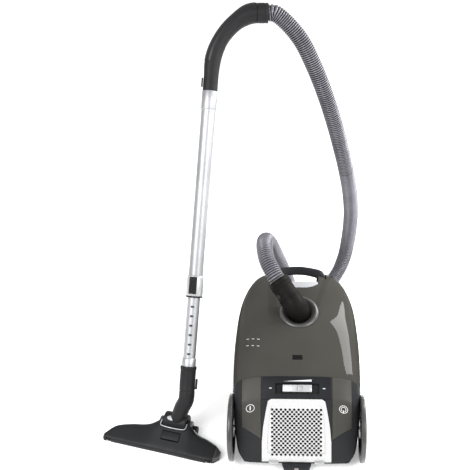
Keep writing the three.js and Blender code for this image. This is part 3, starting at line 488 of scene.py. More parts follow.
def rounded(width, depth, power, sides):
    """A superellipse outline."""
    outline = []
    for i in range(sides):
        angle = 2 * math.pi * (i + 0.5) / sides
        c, s = math.cos(angle), math.sin(angle)
        outline.append((
            math.copysign(abs(c) ** (2 / power), c) * width / 2,
            math.copysign(abs(s) ** (2 / power), s) * depth / 2,
        ))
    return outline


def combine(kind, first, *others):
    """Boolean of the first shape with the others, all used up."""
    for other in others:
        modifier = first.modifiers.new("cut", "BOOLEAN")
        modifier.operation = kind
        modifier.solver = "MANIFOLD"
        modifier.object = other
    mesh = bpy.data.meshes.new_from_object(first.evaluated_get(bpy.context.evaluated_depsgraph_get()))
    discard(first, *others)
    result = bpy.data.objects.new("shape", mesh)
    bpy.context.scene.collection.objects.link(result)
    return result


def discard(*shapes):
    for shape in shapes:
        bpy.data.objects.remove(shape, do_unlink=True)


def cut(first, *others):
    return combine("DIFFERENCE", first, *others)


def common(first, *others):
    return combine("INTERSECT", first, *others)


def joined(first, *others):
    return combine("UNION", first, *others)


def copy_of(shape):
    twin = bpy.data.objects.new("shape", shape.data.copy())
    bpy.context.scene.collection.objects.link(twin)
    return twin


def soften(shape, width):
    """Rounds the edges of a simple shape."""
    modifier = shape.modifiers.new("edge", "BEVEL")
    modifier.width = width
    modifier.segments = 3
    modifier.limit_method = "ANGLE"
    modifier.angle_limit = math.radians(30)
    mesh = bpy.data.meshes.new_from_object(shape.evaluated_get(bpy.context.evaluated_depsgraph_get()))
    discard(shape)
    result = bpy.data.objects.new("shape", mesh)
    bpy.context.scene.collection.objects.link(result)
    return result


def finish_piece(shape, name, slot, body=None, nodes=(), sharp=32):
    """Names and paints a shape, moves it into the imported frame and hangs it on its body."""
    shape.name = name
    shape.data.name = name
    shape.data.transform(TO_ROW)
    shape.data.materials.clear()
    shape.data.materials.append(MATERIALS[slot])
    shape.data.shade_smooth()
    shape.data.set_sharp_from_angle(angle=math.radians(sharp))
    if nodes:
        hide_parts(*nodes)
    if body:
        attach(shape, body)
    return shape


def smooth_path(points, spacing):
    """Evenly spaced points on a smooth curve through the given ones.

    Also returns where each lies among the given points, and its distance along the curve.
    """
    points = [Vector(p) for p in points]
    ends = [2 * points[0] - points[1], *points, 2 * points[-1] - points[-2]]
    fine, owner = [], []
    for k in range(1, len(ends) - 2):
        p0, p1, p2, p3 = ends[k - 1:k + 3]
        t0, t1, t2 = (math.sqrt((b - a).length) for a, b in ((p0, p1), (p1, p2), (p2, p3)))
        m1 = p2 - p1 + t1 * ((p1 - p0) / t0 - (p2 - p0) / (t0 + t1))
        m2 = p2 - p1 + t1 * ((p3 - p2) / t2 - (p3 - p1) / (t1 + t2))
        for i in range(40):
            t = i / 40
            fine.append(
                (2 * t**3 - 3 * t**2 + 1) * p1 + (t**3 - 2 * t**2 + t) * m1
                + (3 * t**2 - 2 * t**3) * p2 + (t**3 - t**2) * m2
            )
            owner.append(k - 1 + t)
    fine.append(points[-1])
    owner.append(len(points) - 1)
    lengths = np.concatenate([[0], np.cumsum([(b - a).length for a, b in zip(fine, fine[1:])])])
    count = max(2, round(lengths[-1] / spacing) + 1)
    places = np.linspace(0, lengths[-1], count)
    table = np.array([list(p) for p in fine])
    even = [Vector([np.interp(s, lengths, table[:, axis]) for axis in range(3)]) for s in places]
    return even, np.interp(places, lengths, owner), places


def sweep(path, section, spare=None):
    """Rings of section(i) -> outline, carried along the path without twist."""
    side = spare or Vector((0, 0, 1))
    rings = []
    for i, point in enumerate(path):
        tangent = (path[min(i + 1, len(path) - 1)] - path[max(i - 1, 0)]).normalized()
        side = (side - side.dot(tangent) * tangent).normalized()
        other = tangent.cross(side)
        rings.append([point + side * a + other * b for a, b in section(i)])
    return rings


# ---- Body surface -----------------------------------------------------------------------------

top_height = through(TOP_LINE)
rim_height = through(RIM_LINE)
bottom_height = through(BOTTOM_LINE)
half_width = through(PLAN_LINE)
dome_power = through(DOME_LINE)


def slant(line, y):
    slope = (line(y + 0.0005) - line(y - 0.0005)) / 0.001
    return min(math.hypot(1, slope), 2.4)


def body_section(y, inset):
    """The cross-section at y, drawn inset all round: a domed upper half on a boxy lower half."""
    wide = max(half_width(y) - inset * slant(half_width, y), 0.006)
    top = top_height(y) - inset * slant(top_height, y)
    bottom = bottom_height(y) + inset * slant(bottom_height, y)
    belt = min(max(rim_height(y), bottom + 0.001), top - 0.001)
    ring = []
    for i in range(SIDES):
        angle = 2 * math.pi * (i + 0.5) / SIDES
        c, s = math.cos(angle), math.sin(angle)
        power = dome_power(y) if s > 0 else 5
        across = math.copysign(abs(c) ** (2 / power), c)
        up = abs(s) ** (2 / power)
        x = wide * across * (1 if s > 0 else 1 - 0.1 * up)
        z = belt + (top - belt) * up if s > 0 else belt - (belt - bottom) * up
        ring.append((x, y, z))
    return ring


def body_solid(inset, nose=True):
    """The body, inset all round. The outer one ends in a softly rounded nose."""
    start = REAR_Y + 1.7 * max(inset, 0)
    stations = np.linspace(start, NOSE_Y - inset, STATIONS)
    rings = [body_section(y, inset) for y in stations]
    if nose and inset < 0.003:
        rim = np.array(rings[-1])
        middle = rim.mean(axis=0)
        for share in (0.25, 0.5, 0.75, 0.95):
            shrunk = middle + (rim - middle) * math.sqrt(1 - share**2)
            shrunk[:, 1] += 0.0035 * share
            rings.append([tuple(p) for p in shrunk])
    return loft(rings)


def surface_height(x, y, inset=0.0):
    """Height of the upper body surface over a point."""
    wide = half_width(y) - inset * slant(half_width, y)
    top = top_height(y) - inset * slant(top_height, y)
    belt = rim_height(y)
    power = dome_power(y)
    return belt + (top - belt) * max(1 - abs(x / wide) ** power, 0) ** (1 / power)


def rim_prism(above, y0, y1):
    """Everything above or below the rim line between two places along the body."""
    offset = GAP / 2 if above else -GAP / 2
    edge = [(y, rim_height(y) + offset) for y in np.linspace(y0, y1, 60)]
    far = 0.32 if above else -0.01
    return prism([*edge, (y1, far), (y0, far)], -0.17, 0.17, "YZX")


FINGER_HALF, FINGER_REAR, FINGER_FLOOR = 0.048, 0.392, 0.172


def wheel_arch(side, grow):
    near, far = sorted((side * (0.1346 - grow), side * 0.175))
    return rod_x(0.077 + grow, near, far, AXLE_Y, WHEEL_RADIUS, 96)


def caster_pocket(grow):
    return rod(0.036 + grow, -0.01, 0.054 + grow, Matrix.Translation((0, 0.360, 0)))


def finger_recess(grow):
    outline = rounded(2 * (FINGER_HALF + grow), 2 * (0.480 - FINGER_REAR + grow), 7, 64)
    return prism([(x, y + 0.480) for x, y in outline], FINGER_FLOOR - grow, 0.32)


def hollows(grow):
    return [wheel_arch(-1, grow), wheel_arch(1, grow), caster_pocket(grow), finger_recess(grow)]


def housing_shell():
    shell = cut(cut(body_solid(0), *hollows(0)), cut(body_solid(WALL), *hollows(WALL)))
    return cut(shell, rod_x(AXLE_HOLE, -0.16, 0.16, AXLE_Y, WHEEL_RADIUS, 32))


# ---- Housing and rear cover -------------------------------------------------------------------

PEDAL = {"inner": 0.076, "outer": 0.117, "front": SEAM_Y - 0.0012, "rear_inner": 0.041, "rear_outer": 0.054}
PANEL_HALF, PANEL_REAR = 0.0715, 0.0795
SLOT_X, SLOT_Y, SLOT_Z, SLOT_SLOPE = 0.0015, 0.097, 0.1686, math.radians(38)
SLOT_HALF, SLOT_HALF_DEPTH = 0.047, 0.0088
GRILLE_OUTLINE = [(0.054, 0.078), (0.0605, 0.0755), (0.0645, 0.067), (0.0712, 0.050), (0.074, 0.036),
                  (0.0742, 0.0203)]
FACE_LEAN = math.atan2(0.149 - 0.029, 0.076 - 0.020)


def both_sides(points):
    return [*points, *[(-x, y) for x, y in reversed(points)]]


def pedal_outline(side, grow):
    inner, outer = side * (PEDAL["inner"] - grow), side * (PEDAL["outer"] + grow)
    front = PEDAL["front"] + (0.01 if grow else 0)
    return [(outer, front), (inner, front), (inner, PEDAL["rear_inner"] - grow),
            (outer, PEDAL["rear_outer"] - grow)]


def panel_block(grow):
    front = SEAM_Y - 0.0012 + (0.01 if grow else 0)
    return block((-PANEL_HALF - grow, PANEL_HALF + grow), (PANEL_REAR - grow, front), (0.06, 0.32))


def grille_opening():
    outline = [(x + GAP, y + GAP) for x, y in GRILLE_OUTLINE]
    return prism(both_sides([*outline, (0.075, -0.01)]), 0, 0.32)


def add_housing(shell):
    tub = common(copy_of(shell), rim_prism(False, 0, 0.47))
    tub = cut(tub, rod_x(0.0094, 0.12, 0.16, 0.178, 0.066))
    finish_piece(tub, "lower_housing_skin", "black_shell", "canister", ["lower_housing"])


def on_slot(width, depth, low, high):
    place = Matrix.Translation((SLOT_X, SLOT_Y, SLOT_Z)) @ Matrix.Rotation(SLOT_SLOPE, 4, "X")
    return block((-width / 2, width / 2), (-depth / 2, depth / 2), (low, high), place)


def add_rear(shell):
    rear = common(shell, rim_prism(True, 0, SEAM_Y - GAP))
    frame_piece = cut(copy_of(rear), panel_block(GAP), grille_opening(),
                      prism(pedal_outline(-1, 0.0006), 0, 0.32), prism(pedal_outline(1, 0.0006), 0, 0.32))
    finish_piece(frame_piece, "rear_cover_skin", "black_shell", "canister", ["rear_cover"])
    slot = block((SLOT_X - SLOT_HALF, SLOT_X + SLOT_HALF),
                 (SLOT_Y - SLOT_HALF_DEPTH, SLOT_Y + SLOT_HALF_DEPTH), (0.06, 0.32))
    panel = cut(common(copy_of(rear), panel_block(0)), slot)
    finish_piece(panel, "control_panel_skin", "panel", "canister", ["control_panel"])
    for side, node, body in ((-1, "power_pedal", "power_pedal"), (1, "rewind_pedal", "rewind_pedal")):
        pedal = common(copy_of(rear), prism(pedal_outline(side, 0), 0, 0.32))
        finish_piece(pedal, f"{node}_skin", "taupe", body, [node])
    discard(rear)


def add_slider():
    bar = soften(on_slot(0.062, 0.015, -0.003, 0.0025), 0.0012)
    grips = []
    for x, width in ((0, 0.0018), (0.0055, 0.0008), (0.0085, 0.0008), (0.0115, 0.0008)):
        grip_line = on_slot(width, 0.012, 0.0004, 0.004)
        grip_line.data.transform(Matrix.Translation((x, 0, 0)))
        grips.append(grip_line)
    finish_piece(cut(bar, *grips), "power_slider_skin", "silver_trim", "slider", ["power_slider"])


PRINT_THICKNESS = 0.00015
SIGN_RADIUS, SIGN_LINE = 0.0093, 0.0013


def on_surface(outline, thickness=PRINT_THICKNESS, inset=0.0):
    """A thin print lying on the body surface, from an outline seen from above."""
    upper = [(x, y, surface_height(x, y, inset) + thickness) for x, y in outline]
    lower = [(x, y, z - 0.0008) for x, y, z in upper]
    return loft([lower, upper])


def bar_print(x0, x1, y0, y1):
    return on_surface([(x0, y0), (x1, y0), (x1, y1), (x0, y1)])


def ring_print(x, y, radius, start, end, steps=36):
    """An arc printed on the sloping face; angles in degrees."""
    lean = math.cos(FACE_LEAN)
    inside = radius - SIGN_LINE
    angles = np.radians(np.linspace(start, end, steps))
    outer = [(x + radius * math.cos(a), y + radius * math.sin(a) * lean) for a in angles]
    inner = [(x + inside * math.cos(a), y + inside * math.sin(a) * lean) for a in reversed(angles)]
    return on_surface([*outer, *inner])


def sign_stroke(x, y, low, high):
    """A short upright stroke of an icon on the sloping face."""
    lean = math.cos(FACE_LEAN)
    return bar_print(x - 0.0011, x + 0.0011, y + low * lean, y + high * lean)


def add_prints():
    """Generic icons: rings with a stroke and an arc on the pedals, a wedge and dashes by the slider."""
    left, right, y = -0.0985, 0.0995, 0.0705
    for piece, name, body in (
        (ring_print(left, y, SIGN_RADIUS, 0, 360, 60), "power_sign_ring", "power_pedal"),
        (sign_stroke(left, y, -0.0048, 0.0048), "power_sign_bar", "power_pedal"),
        (ring_print(right, y, SIGN_RADIUS, 0, 360, 60), "rewind_sign_ring", "rewind_pedal"),
        (ring_print(right, y, 0.0058, -60, 240), "rewind_sign_arc", "rewind_pedal"),
        (sign_stroke(right, y, -0.0095, -0.0025), "rewind_sign_bar", "rewind_pedal"),
    ):
        finish_piece(piece, name, "print", body)
    wedge_y = SLOT_Y + 0.0118
    wedge = on_surface([(-0.028, wedge_y), (0.032, wedge_y), (0.032, wedge_y + 0.0034)])
    finish_piece(wedge, "power_wedge", "print", "canister")
    for name, x in (("low", SLOT_X - 0.057), ("high", SLOT_X + 0.057)):
        dash = bar_print(x - 0.0028, x + 0.0028, SLOT_Y - 0.0006, SLOT_Y + 0.0006)
        finish_piece(dash, f"power_mark_{name}", "print", "canister")


def add_lid_marks():
    """Two rows of plain dashes on the lid's left."""
    for row, row_y in (("upper", 0.2110), ("lower", 0.1945)):
        for i, x in enumerate((-0.108, -0.096, -0.084)):
            y = row_y - 0.3 * (x + 0.096)
            mark = on_surface([(x - 0.0028, y), (x + 0.0028, y - 0.0017), (x + 0.0028, y + 0.0002),
                               (x - 0.0028, y + 0.0019)], 0.0002, LID_STEP)
            finish_piece(mark, f"lid_mark_{row}_{i}", "light_grey", "lid")


# ---- Exhaust grille and parking hook ----------------------------------------------------------

HOLE = {"radius": 0.0030, "column": 0.0094, "row": 0.0050, "start": 0.0155, "columns": 12, "rows": 21}


def grille_holes():
    """Staggered round holes square to the sloping face, as one many-part tool."""
    tangent = Vector((0, math.cos(FACE_LEAN), math.sin(FACE_LEAN)))
    normal = Vector((0, -math.sin(FACE_LEAN), math.cos(FACE_LEAN)))
    vertices, faces = [], []
    sides = 12
    for row in range(HOLE["rows"]):
        odd = row % 2
        for column in range(HOLE["columns"] - odd):
            x = (column - (HOLE["columns"] - 1 - odd) / 2) * HOLE["column"]
            centre = Vector((x, REAR_Y, 0.029)) + tangent * (HOLE["start"] + row * HOLE["row"])
            start = len(vertices)
            for depth in (-0.02, 0.02):
                for a, b in circle(HOLE["radius"], sides):
                    vertices.append(centre + Vector((a, 0, 0)) + tangent * b + normal * depth)
            faces.append(tuple(start + i for i in reversed(range(sides))))
            faces.append(tuple(start + sides + i for i in range(sides)))
            for i in range(sides):
                j = (i + 1) % sides
                faces.append((start + i, start + j, start + sides + j, start + sides + i))
    return outward(mesh_object(vertices, faces))


def add_grille():
    proud = 0.002
    shell = cut(body_solid(-proud, nose=False), body_solid(WALL))
    panel = common(common(shell, rim_prism(True, 0, SEAM_Y)), prism(both_sides(GRILLE_OUTLINE), 0, 0.32))
    field = [(0.047, 0.0725), (0.053, 0.0705), (0.057, 0.064), (0.0605, 0.050), (0.062, 0.036),
             (0.0615, 0.0262)]
    above_field = cut(body_solid(-0.006, nose=False), body_solid(-0.0006))
    panel = cut(panel, common(above_field, prism(both_sides(field), 0, 0.32)))
    panel = cut(panel, grille_holes())
    finish_piece(panel, "exhaust_grille_skin", "white_grille", "grille", ["exhaust_grille"], sharp=28)
    for name, x in (("left", -0.049), ("right", 0.049)):
        tab = soften(block((x - 0.0105, x + 0.0105), (0.013, 0.0203), (0.0282, 0.032)), 0.0012)
        finish_piece(tab, f"grille_tab_{name}", "silver_trim", "grille")


def add_hook():
    bar = prism(both_sides([(0.032, 0.026), (0.026, 0.006)]), 0.012, 0.0234)
    bar = cut(bar, block((-0.0045, 0.0045), (0, 0.016), (0, 0.03)))
    finish_piece(soften(bar, 0.0016), "parking_hook_skin", "black_shell", "canister", ["parking_hook"])


# ---- Carrying handle --------------------------------------------------------------------------

def nose_edge(x):
    return NOSE_Y - 0.032 * (abs(x) / 0.074) ** 2.2


HANDLE_HALF, HANDLE_SETBACK = 0.061, 0.0085


def add_handle():
    """One rounded bar that rises from the housing, follows the nose and goes down again."""
    foot_y = nose_edge(HANDLE_HALF) - HANDLE_SETBACK
    left = [(-HANDLE_HALF, foot_y, 0.180), (-HANDLE_HALF, foot_y, 0.205),
            (0.001 - HANDLE_HALF, foot_y + 0.0003, 0.219)]
    arc = [(x, nose_edge(x) - HANDLE_SETBACK, 0.2285) for x in np.linspace(-0.053, 0.053, 9)]
    points = [*left, *arc, *[(-x, y, z) for x, y, z in reversed(left)]]
    path, _, _ = smooth_path(points, 0.0015)
    section = rounded(0.0185, 0.020, 4.5, 40)
    bar = loft(sweep(path, lambda i: section, Vector((0, 1, 0))))
    finish_piece(bar, "carry_handle_skin", "black_shell", "canister", ["carry_handle"], sharp=50)


# ---- Lid, latch and window --------------------------------------------------------------------

LATCH_GAP = 0.0012  # room for the latch to swing
WINDOW_X, WINDOW_Y = (-0.0085, 0.0125), (0.156, 0.166)


def latch_outline(grow):
    front = 0.390 + (0.06 if grow else 0)
    return both_sides([(0.050 + grow, front), (0.050 + grow, 0.382), (0.038, 0.372 - grow),
                       (0.024, 0.367 - grow)])


def window_block(grow):
    (x0, x1), (y0, y1) = WINDOW_X, WINDOW_Y
    return block((x0 - grow, x1 + grow), (y0 - grow, y1 + grow), (0.15, 0.32))


def handle_clearance():
    front = [(x, nose_edge(x) + 0.01) for x in np.linspace(-0.0702, 0.0702, 24)]
    return prism([*front, *[(x, y - 0.028) for x, y in reversed(front)]], 0.15, 0.32)


def add_lid():
    """The lid, relieved at its hinge end, and the window and latch cut from the same shell."""
    shell = cut(body_solid(LID_STEP), body_solid(LID_STEP + LID_WALL))
    relief = [(0.114, 0.09), (0.156, 0.09), (0.156, rim_height(0.156)), (0.114, rim_height(0.114) + 0.0054)]
    blank = cut(common(shell, rim_prism(True, SEAM_Y + 0.0012, 0.47)), prism(relief, -0.17, 0.17, "YZX"))
    lid = cut(copy_of(blank), finger_recess(0.002), prism(latch_outline(LATCH_GAP), 0.15, 0.32),
              handle_clearance(), window_block(GAP), rod(0.0449, -0.06, 0.04, INLET, 96))
    finish_piece(lid, "bag_lid_skin", "lid_taupe", "lid", ["bag_lid"])
    window = common(copy_of(blank), window_block(0))
    finish_piece(window, "bag_window_skin", "window", "lid", ["bag_window"])
    latch = common(blank, prism(latch_outline(0), 0.15, 0.32))
    finish_piece(latch, "lid_latch_skin", "light_grey", "latch", ["lid_latch"])


# ---- Inlet collar and hose connector ----------------------------------------------------------

def add_collar():
    profile = [(0.0246, -0.014), (0.030, -0.014), (0.030, -0.006), (0.0445, -0.006), (0.0445, 0.0012),
               (0.0441, 0.0022), (0.0425, 0.0042), (0.041, 0.0058), (0.0393, 0.0067), (0.0375, 0.007),
               (0.036, 0.0066), (0.0343, 0.005), (0.029, 0.0005), (0.0246, -0.005)]
    collar = lathe(profile, INLET, 120)
    finish_piece(collar, "inlet_collar_skin", "ring_gloss", "lid", ["inlet_collar"], sharp=40)


def add_elbow():
    base, neck = INLET @ Vector((0, 0, -0.0125)), INLET @ Vector((0, 0, 0.004))
    bend = HOSE_START - SOCKET_AXIS * 0.072
    middle = HOSE_START - SOCKET_AXIS * 0.040
    end = HOSE_START - SOCKET_AXIS * GAP
    path, owner, _ = smooth_path([base, neck, bend, middle, end], 0.0015)
    radius = through([(0, 0.0242), (1, 0.0242), (2, 0.0262), (2.6, 0.0248), (3, 0.0238), (4, 0.0238)])
    rings = sweep(path, lambda i: circle(radius(owner[i]), 64), SOCKET_AXIS.cross(Vector((0, 0, 1))))
    finish_piece(loft(rings), "hose_elbow_skin", "connector", "lid", ["hose_elbow"], sharp=50)
    along = aim(SOCKET_AXIS, HOSE_START)
    profile = [(0.0215, -0.020), (0.0244, -0.0195), (0.0250, -0.018), (0.0250, -0.012), (0.0243, -0.0113),
               (0.0243, -0.0107), (0.0250, -0.010), (0.0250, -0.0045), (0.0244, -0.003), (0.0215, -0.003)]
    finish_piece(lathe(profile, along), "elbow_cuff", "connector", "lid")
    for low in (-0.060, -0.054, -0.048):
        rib = [(0.023, low), (0.0258, low + 0.0004), (0.0258, low + 0.0022), (0.023, low + 0.0026)]
        finish_piece(lathe(rib, along), f"elbow_rib_{round(-low * 1000)}", "connector", "lid")


def add_elbow_buttons():
    across = SOCKET_AXIS.cross(Vector((0, 0, 1))).normalized()
    centre = HOSE_START - SOCKET_AXIS * 0.034
    profile = [(0.0056, 0.0213), (0.0056, 0.0243), (0.005, 0.0252), (0.003, 0.0256)]
    for name, side in (("left", -1), ("right", 1)):
        button = turned_disc(profile, 0.0213, 0.0254, aim(across * side, centre), 40)
        node = f"elbow_button_{name}"
        finish_piece(button, f"{node}_skin", "black_shell", f"button_{name}", [node])


# ---- Hose -------------------------------------------------------------------------------------

def grip_frame(distance):
    """A point on the grip's middle line and its direction, at a distance from the tube's end."""
    x, z, angle, left = 0.0, AT_GRIP + min(distance, GRIP_STRAIGHT), 0.0, distance - GRIP_STRAIGHT
    for radius, reached in GRIP_BENDS:
        end = min(reached, angle + max(left, 0) / radius)
        x += radius * (math.cos(angle) - math.cos(end))
        z += radius * (math.sin(end) - math.sin(angle))
        left -= radius * (end - angle)
        angle = end
    direction = Vector((math.sin(angle), 0, math.cos(angle)))
    centre = Vector((x, 0, z)) + direction * max(left, 0)
    return WAND @ centre, WAND.to_3x3() @ direction


(FIRST_RADIUS, FIRST_ANGLE), (SECOND_RADIUS, SECOND_ANGLE) = GRIP_BENDS
GRIP_LENGTH = GRIP_STRAIGHT + FIRST_RADIUS * FIRST_ANGLE + SECOND_RADIUS * (SECOND_ANGLE - FIRST_ANGLE)
RIB_PITCH, RIB_DEPTH = 0.0050, 0.0032


def rib_radius(distance):
    """The corrugated wall: rounded crests with narrow valleys."""
    crest = math.sin(math.pi * ((distance / RIB_PITCH) % 1)) ** 0.8
    return HOSE_RADIUS - RIB_DEPTH * (1 - crest)


def paint_shade_in_valleys(piece, radii):
    """Gives the rings of faces that lie low between two ribs a much darker colour: painted shade in the
    valleys.
    """
    piece.data.materials.append(MATERIALS["hose_valley_shade"])
    sides = len(piece.data.vertices) // len(radii)
    for k in range(len(radii) - 1):
        if (radii[k] + radii[k + 1]) / 2 < HOSE_RADIUS - 0.42 * RIB_DEPTH:
            for i in range(sides):
                piece.data.polygons[k * sides + i].material_index = 1


def add_hose():
    end, end_axis = grip_frame(GRIP_LENGTH + GRIP_CUFF)
    points = [HOSE_START, HOSE_START + SOCKET_AXIS * 0.012, *HOSE_ROUTE, end + end_axis * 0.012, end]
    path, owner, places = smooth_path(points, RIB_PITCH / 8)
    ends = [*HOSE_SPLITS, len(points) - 1]
    rings = sweep(path, lambda i: circle(rib_radius(places[i]), 32))
    for name, bodies, first, last in zip(("lower", "middle", "upper"), HOSE_BODIES, ends, ends[1:]):
        inside = [i for i in range(len(path)) if first <= owner[i] <= last]
        stretch = loft([rings[i] for i in inside])
        piece = finish_piece(stretch, f"hose_{name}_ribbed", "hose", None, [f"hose_{name}"], sharp=80)
        paint_shade_in_valleys(piece, [rib_radius(places[i]) for i in inside])
        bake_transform(piece)


# ---- Wheels and outlet ------------------------------------------------------------------------

def add_wheel(name, side):
    profile = [(0.020, 0.0), (0.020, 0.006), (0.058, 0.006), (0.058, 0.0), (0.0695, 0.0), (0.0718, 0.0006),
               (0.0728, 0.0016), (0.073, 0.003), (0.073, 0.0062), (0.0726, 0.0078), (0.0715, 0.0092),
               (0.0698, 0.0101), (0.0672, 0.0106), (0.0662, 0.0101), (0.0652, 0.0107), (0.060, 0.0116),
               (0.050, 0.0126), (0.036, 0.0133), (0.034, 0.0126), (0.032, 0.0134), (0.018, 0.0138)]
    turn = Matrix.Rotation(side * math.pi / 2, 4, "Y")
    place = Matrix.Translation((side * 0.1356, AXLE_Y, WHEEL_RADIUS)) @ turn
    axle_hole = rod_x(AXLE_HOLE, -0.1463, 0.1463, AXLE_Y, WHEEL_RADIUS)
    wheel = cut(turned_disc(profile, 0.0, 0.0139, place, 120), axle_hole)
    finish_piece(wheel, f"{name}_skin", "wheel", name, [name], sharp=24)


def add_outlet():
    place = Matrix.Translation((0.128, 0.178, 0.066)) @ Matrix.Rotation(math.pi / 2, 4, "Y")
    profile = [(0.004, 0), (0.009, 0), (0.009, 0.0078), (0.012, 0.008), (0.0118, 0.0098), (0.0108, 0.0108),
               (0.007, 0.011), (0.0052, 0.0104), (0.004, 0.009)]
    finish_piece(lathe(profile, place, 48), "cord_outlet_skin", "rubber", "canister", ["cord_outlet"])


# ---- Wand -------------------------------------------------------------------------------------

DRUM = Matrix.Translation(PIVOT) @ Matrix.Rotation(HEAD_YAW, 4, "Z") @ Matrix.Rotation(math.pi / 2, 4, "Y")
DRUM_RADIUS, DRUM_HALF = 0.020, 0.027


def add_neck():
    along = [WAND_BASE + WAND_AXIS * d for d in (0, 0.040, AT_NECK_TOP)]
    start = PIVOT + Vector((0.003, 0, 0.006))
    path, _, places = smooth_path([start, (-0.2615, 0.1275, 0.057), (-0.254, 0.131, 0.077), *along], 0.001)
    total = places[-1]

    def outline(i):
        left = total - places[i]
        groove = 0.0007 if 0.046 < left < 0.0478 else 0
        return circle(0.0174 - groove, 56)

    tube = loft(sweep(path, outline, Vector((1, 0, 0))))
    tube = cut(tube, rod(LOWER_TUBE + GAP, AT_LOWER_START - 0.002, NECK_BORE_END, WAND))
    drum = soften(rod(DRUM_RADIUS, -DRUM_HALF, DRUM_HALF, DRUM, 72), 0.002)
    finish_piece(joined(tube, drum), "wand_neck_skin", "wand_plastic", "wand_lower", ["wand_neck"])
    finish_piece(loft(drum_badge_rings()), "neck_badge", "light_grey", "wand_lower", sharp=50)


def drum_badge_rings():
    """A plain oval plate bent round the front of the drum's top."""
    rings = []
    for radius, share in ((0.0192, 1.0), (0.0204, 1.0), (0.0207, 0.9), (0.0208, 0.55), (0.0208, 0.05)):
        ring = []
        for c, s in circle(1, 40):
            angle = math.radians(62) - 0.27 * s * share
            along = -0.0075 + 0.0105 * c * share
            ring.append(DRUM @ Vector((-radius * math.sin(angle), -radius * math.cos(angle), along)))
        rings.append(ring)
    return rings


def oval_at(distance, low, high, width, height):
    """A small oval block across the front of the lower tube; levels are above the tube's surface."""
    turn = Matrix.Rotation(math.pi / 2, 4, "X")
    place = WAND @ Matrix.Translation((-0.002, -LOWER_TUBE, distance)) @ turn
    outline = rounded(width, height, 2.2, 28)
    return loft([[(x, y, level) for x, y in outline] for level in (low, high)], place)


def add_neck_collar():
    low, high = AT_NECK_TOP + GAP, NECK_COLLAR_TOP
    collar = [(LOWER_TUBE + GAP, low), (0.0176, low), (0.0182, low + 0.0007), (0.0182, high - 0.0007),
              (0.0176, high), (LOWER_TUBE + GAP, high)]
    finish_piece(lathe(collar, WAND), "neck_collar_skin", "wand_plastic", "wand_lower", ["neck_collar"])


def add_lower_tube():
    """The inner tube with its end sleeve and the notches the telescope button drops into."""
    wall, sleeve, sleeve_end = LOWER_TUBE - 0.0012, LOWER_TUBE + 0.0016, 0.092
    profile = [(wall, AT_LOWER_START), (LOWER_TUBE, AT_LOWER_START), (LOWER_TUBE, NECK_COLLAR_TOP + GAP),
               (sleeve, NECK_COLLAR_TOP + GAP), (sleeve, sleeve_end),
               (LOWER_TUBE + 0.0004, sleeve_end + 0.002), (LOWER_TUBE, sleeve_end + 0.0025),
               (LOWER_TUBE, AT_LOWER_END), (wall, AT_LOWER_END)]
    notch_places = [0.104 + 0.021 * i for i in range(6)]
    notches = [oval_at(at, -0.0012, 0.004, 0.010, 0.005) for at in notch_places]
    tube = cut(lathe(profile, WAND, 96), *notches)
    finish_piece(tube, "lower_tube_skin", "wand_tube", "wand_lower", ["lower_tube"])
    # Each notch is closed by a thin dark plate: painted shade standing in for the dark inside of the tube.
    for i, at in enumerate(notch_places):
        inside_tube = rod(LOWER_TUBE - 0.0001, at - 0.004, at + 0.004, WAND, 96)
        shade_plate = common(oval_at(at, -0.0011, -0.0009, 0.0096, 0.0046), inside_tube)
        finish_piece(shade_plate, f"tube_notch_shade_{i}", "wheel", "wand_lower")


def add_upper_tube():
    bore, socket = LOWER_TUBE + GAP, UPPER_TUBE + 0.0012
    profile = [(bore, AT_UPPER + GAP), (UPPER_TUBE, AT_UPPER + GAP), (UPPER_TUBE, AT_SOCKET),
               (UPPER_TUBE + 0.0008, AT_SOCKET + 0.0012), (socket, AT_SOCKET + 0.003),
               (socket, AT_GRIP - 0.001), (socket - 0.0006, AT_GRIP), (bore, AT_GRIP)]
    finish_piece(lathe(profile, WAND, 96), "upper_tube_skin", "wand_tube", "wand_upper", ["upper_tube"])


def add_parking_clip():
    clip = soften(block((0.0179, 0.0225), (-0.006, 0.006), (0.026, 0.048), WAND), 0.0015)
    finish_piece(clip, "parking_clip_skin", "wand_plastic", "wand_lower", ["parking_clip"])


LATCH_X, LATCH_LOW, LATCH_HIGH = (-0.012, 0.004), 0.238, 0.275


def add_latch():
    bore = LOWER_TUBE + GAP
    low, high = AT_LATCH + 0.003, AT_UPPER
    stations = [(low, 0.0175), (low + 0.0008, 0.0184), (low + 0.004, 0.0190), (0.2555, 0.0193),
                (high - 0.006, 0.0188), (high - 0.0012, 0.0176), (high, 0.0168)]
    body = loft([[(x, y, at) for x, y in rounded(2 * r, 2 * r, 2.25, 72)] for at, r in stations], WAND)
    pocket = block((LATCH_X[0] - GAP, LATCH_X[1] + GAP), (-0.03, -0.015),
                   (LATCH_LOW - GAP, LATCH_HIGH + GAP), WAND)
    housing = cut(body, rod(bore, low - 0.01, high + 0.01, WAND), pocket)
    finish_piece(housing, "latch_housing_skin", "silver_trim", "wand_upper", ["latch_housing"])
    button = block(LATCH_X, (-0.022, -0.0172), (LATCH_LOW, LATCH_HIGH), WAND)
    grips = [block((LATCH_X[0] + 0.003, LATCH_X[1] - 0.003), (-0.0225, -0.0214), (at, at + 0.0016), WAND)
             for at in np.arange(LATCH_LOW + 0.009, LATCH_HIGH - 0.009, 0.0036)]
    button = cut(soften(button, 0.0012), *grips)
    finish_piece(button, "latch_button_skin", "rubber", "wand_latch", ["latch_button"])
    ring = [(bore, AT_LATCH), (0.0188, AT_LATCH), (0.0195, AT_LATCH + 0.0007), (0.0195, AT_LATCH + 0.0019),
            (0.0188, AT_LATCH + 0.0026), (bore, AT_LATCH + 0.0026)]
    finish_piece(lathe(ring, WAND), "latch_ring_skin", "rubber", "wand_upper", ["latch_ring"])


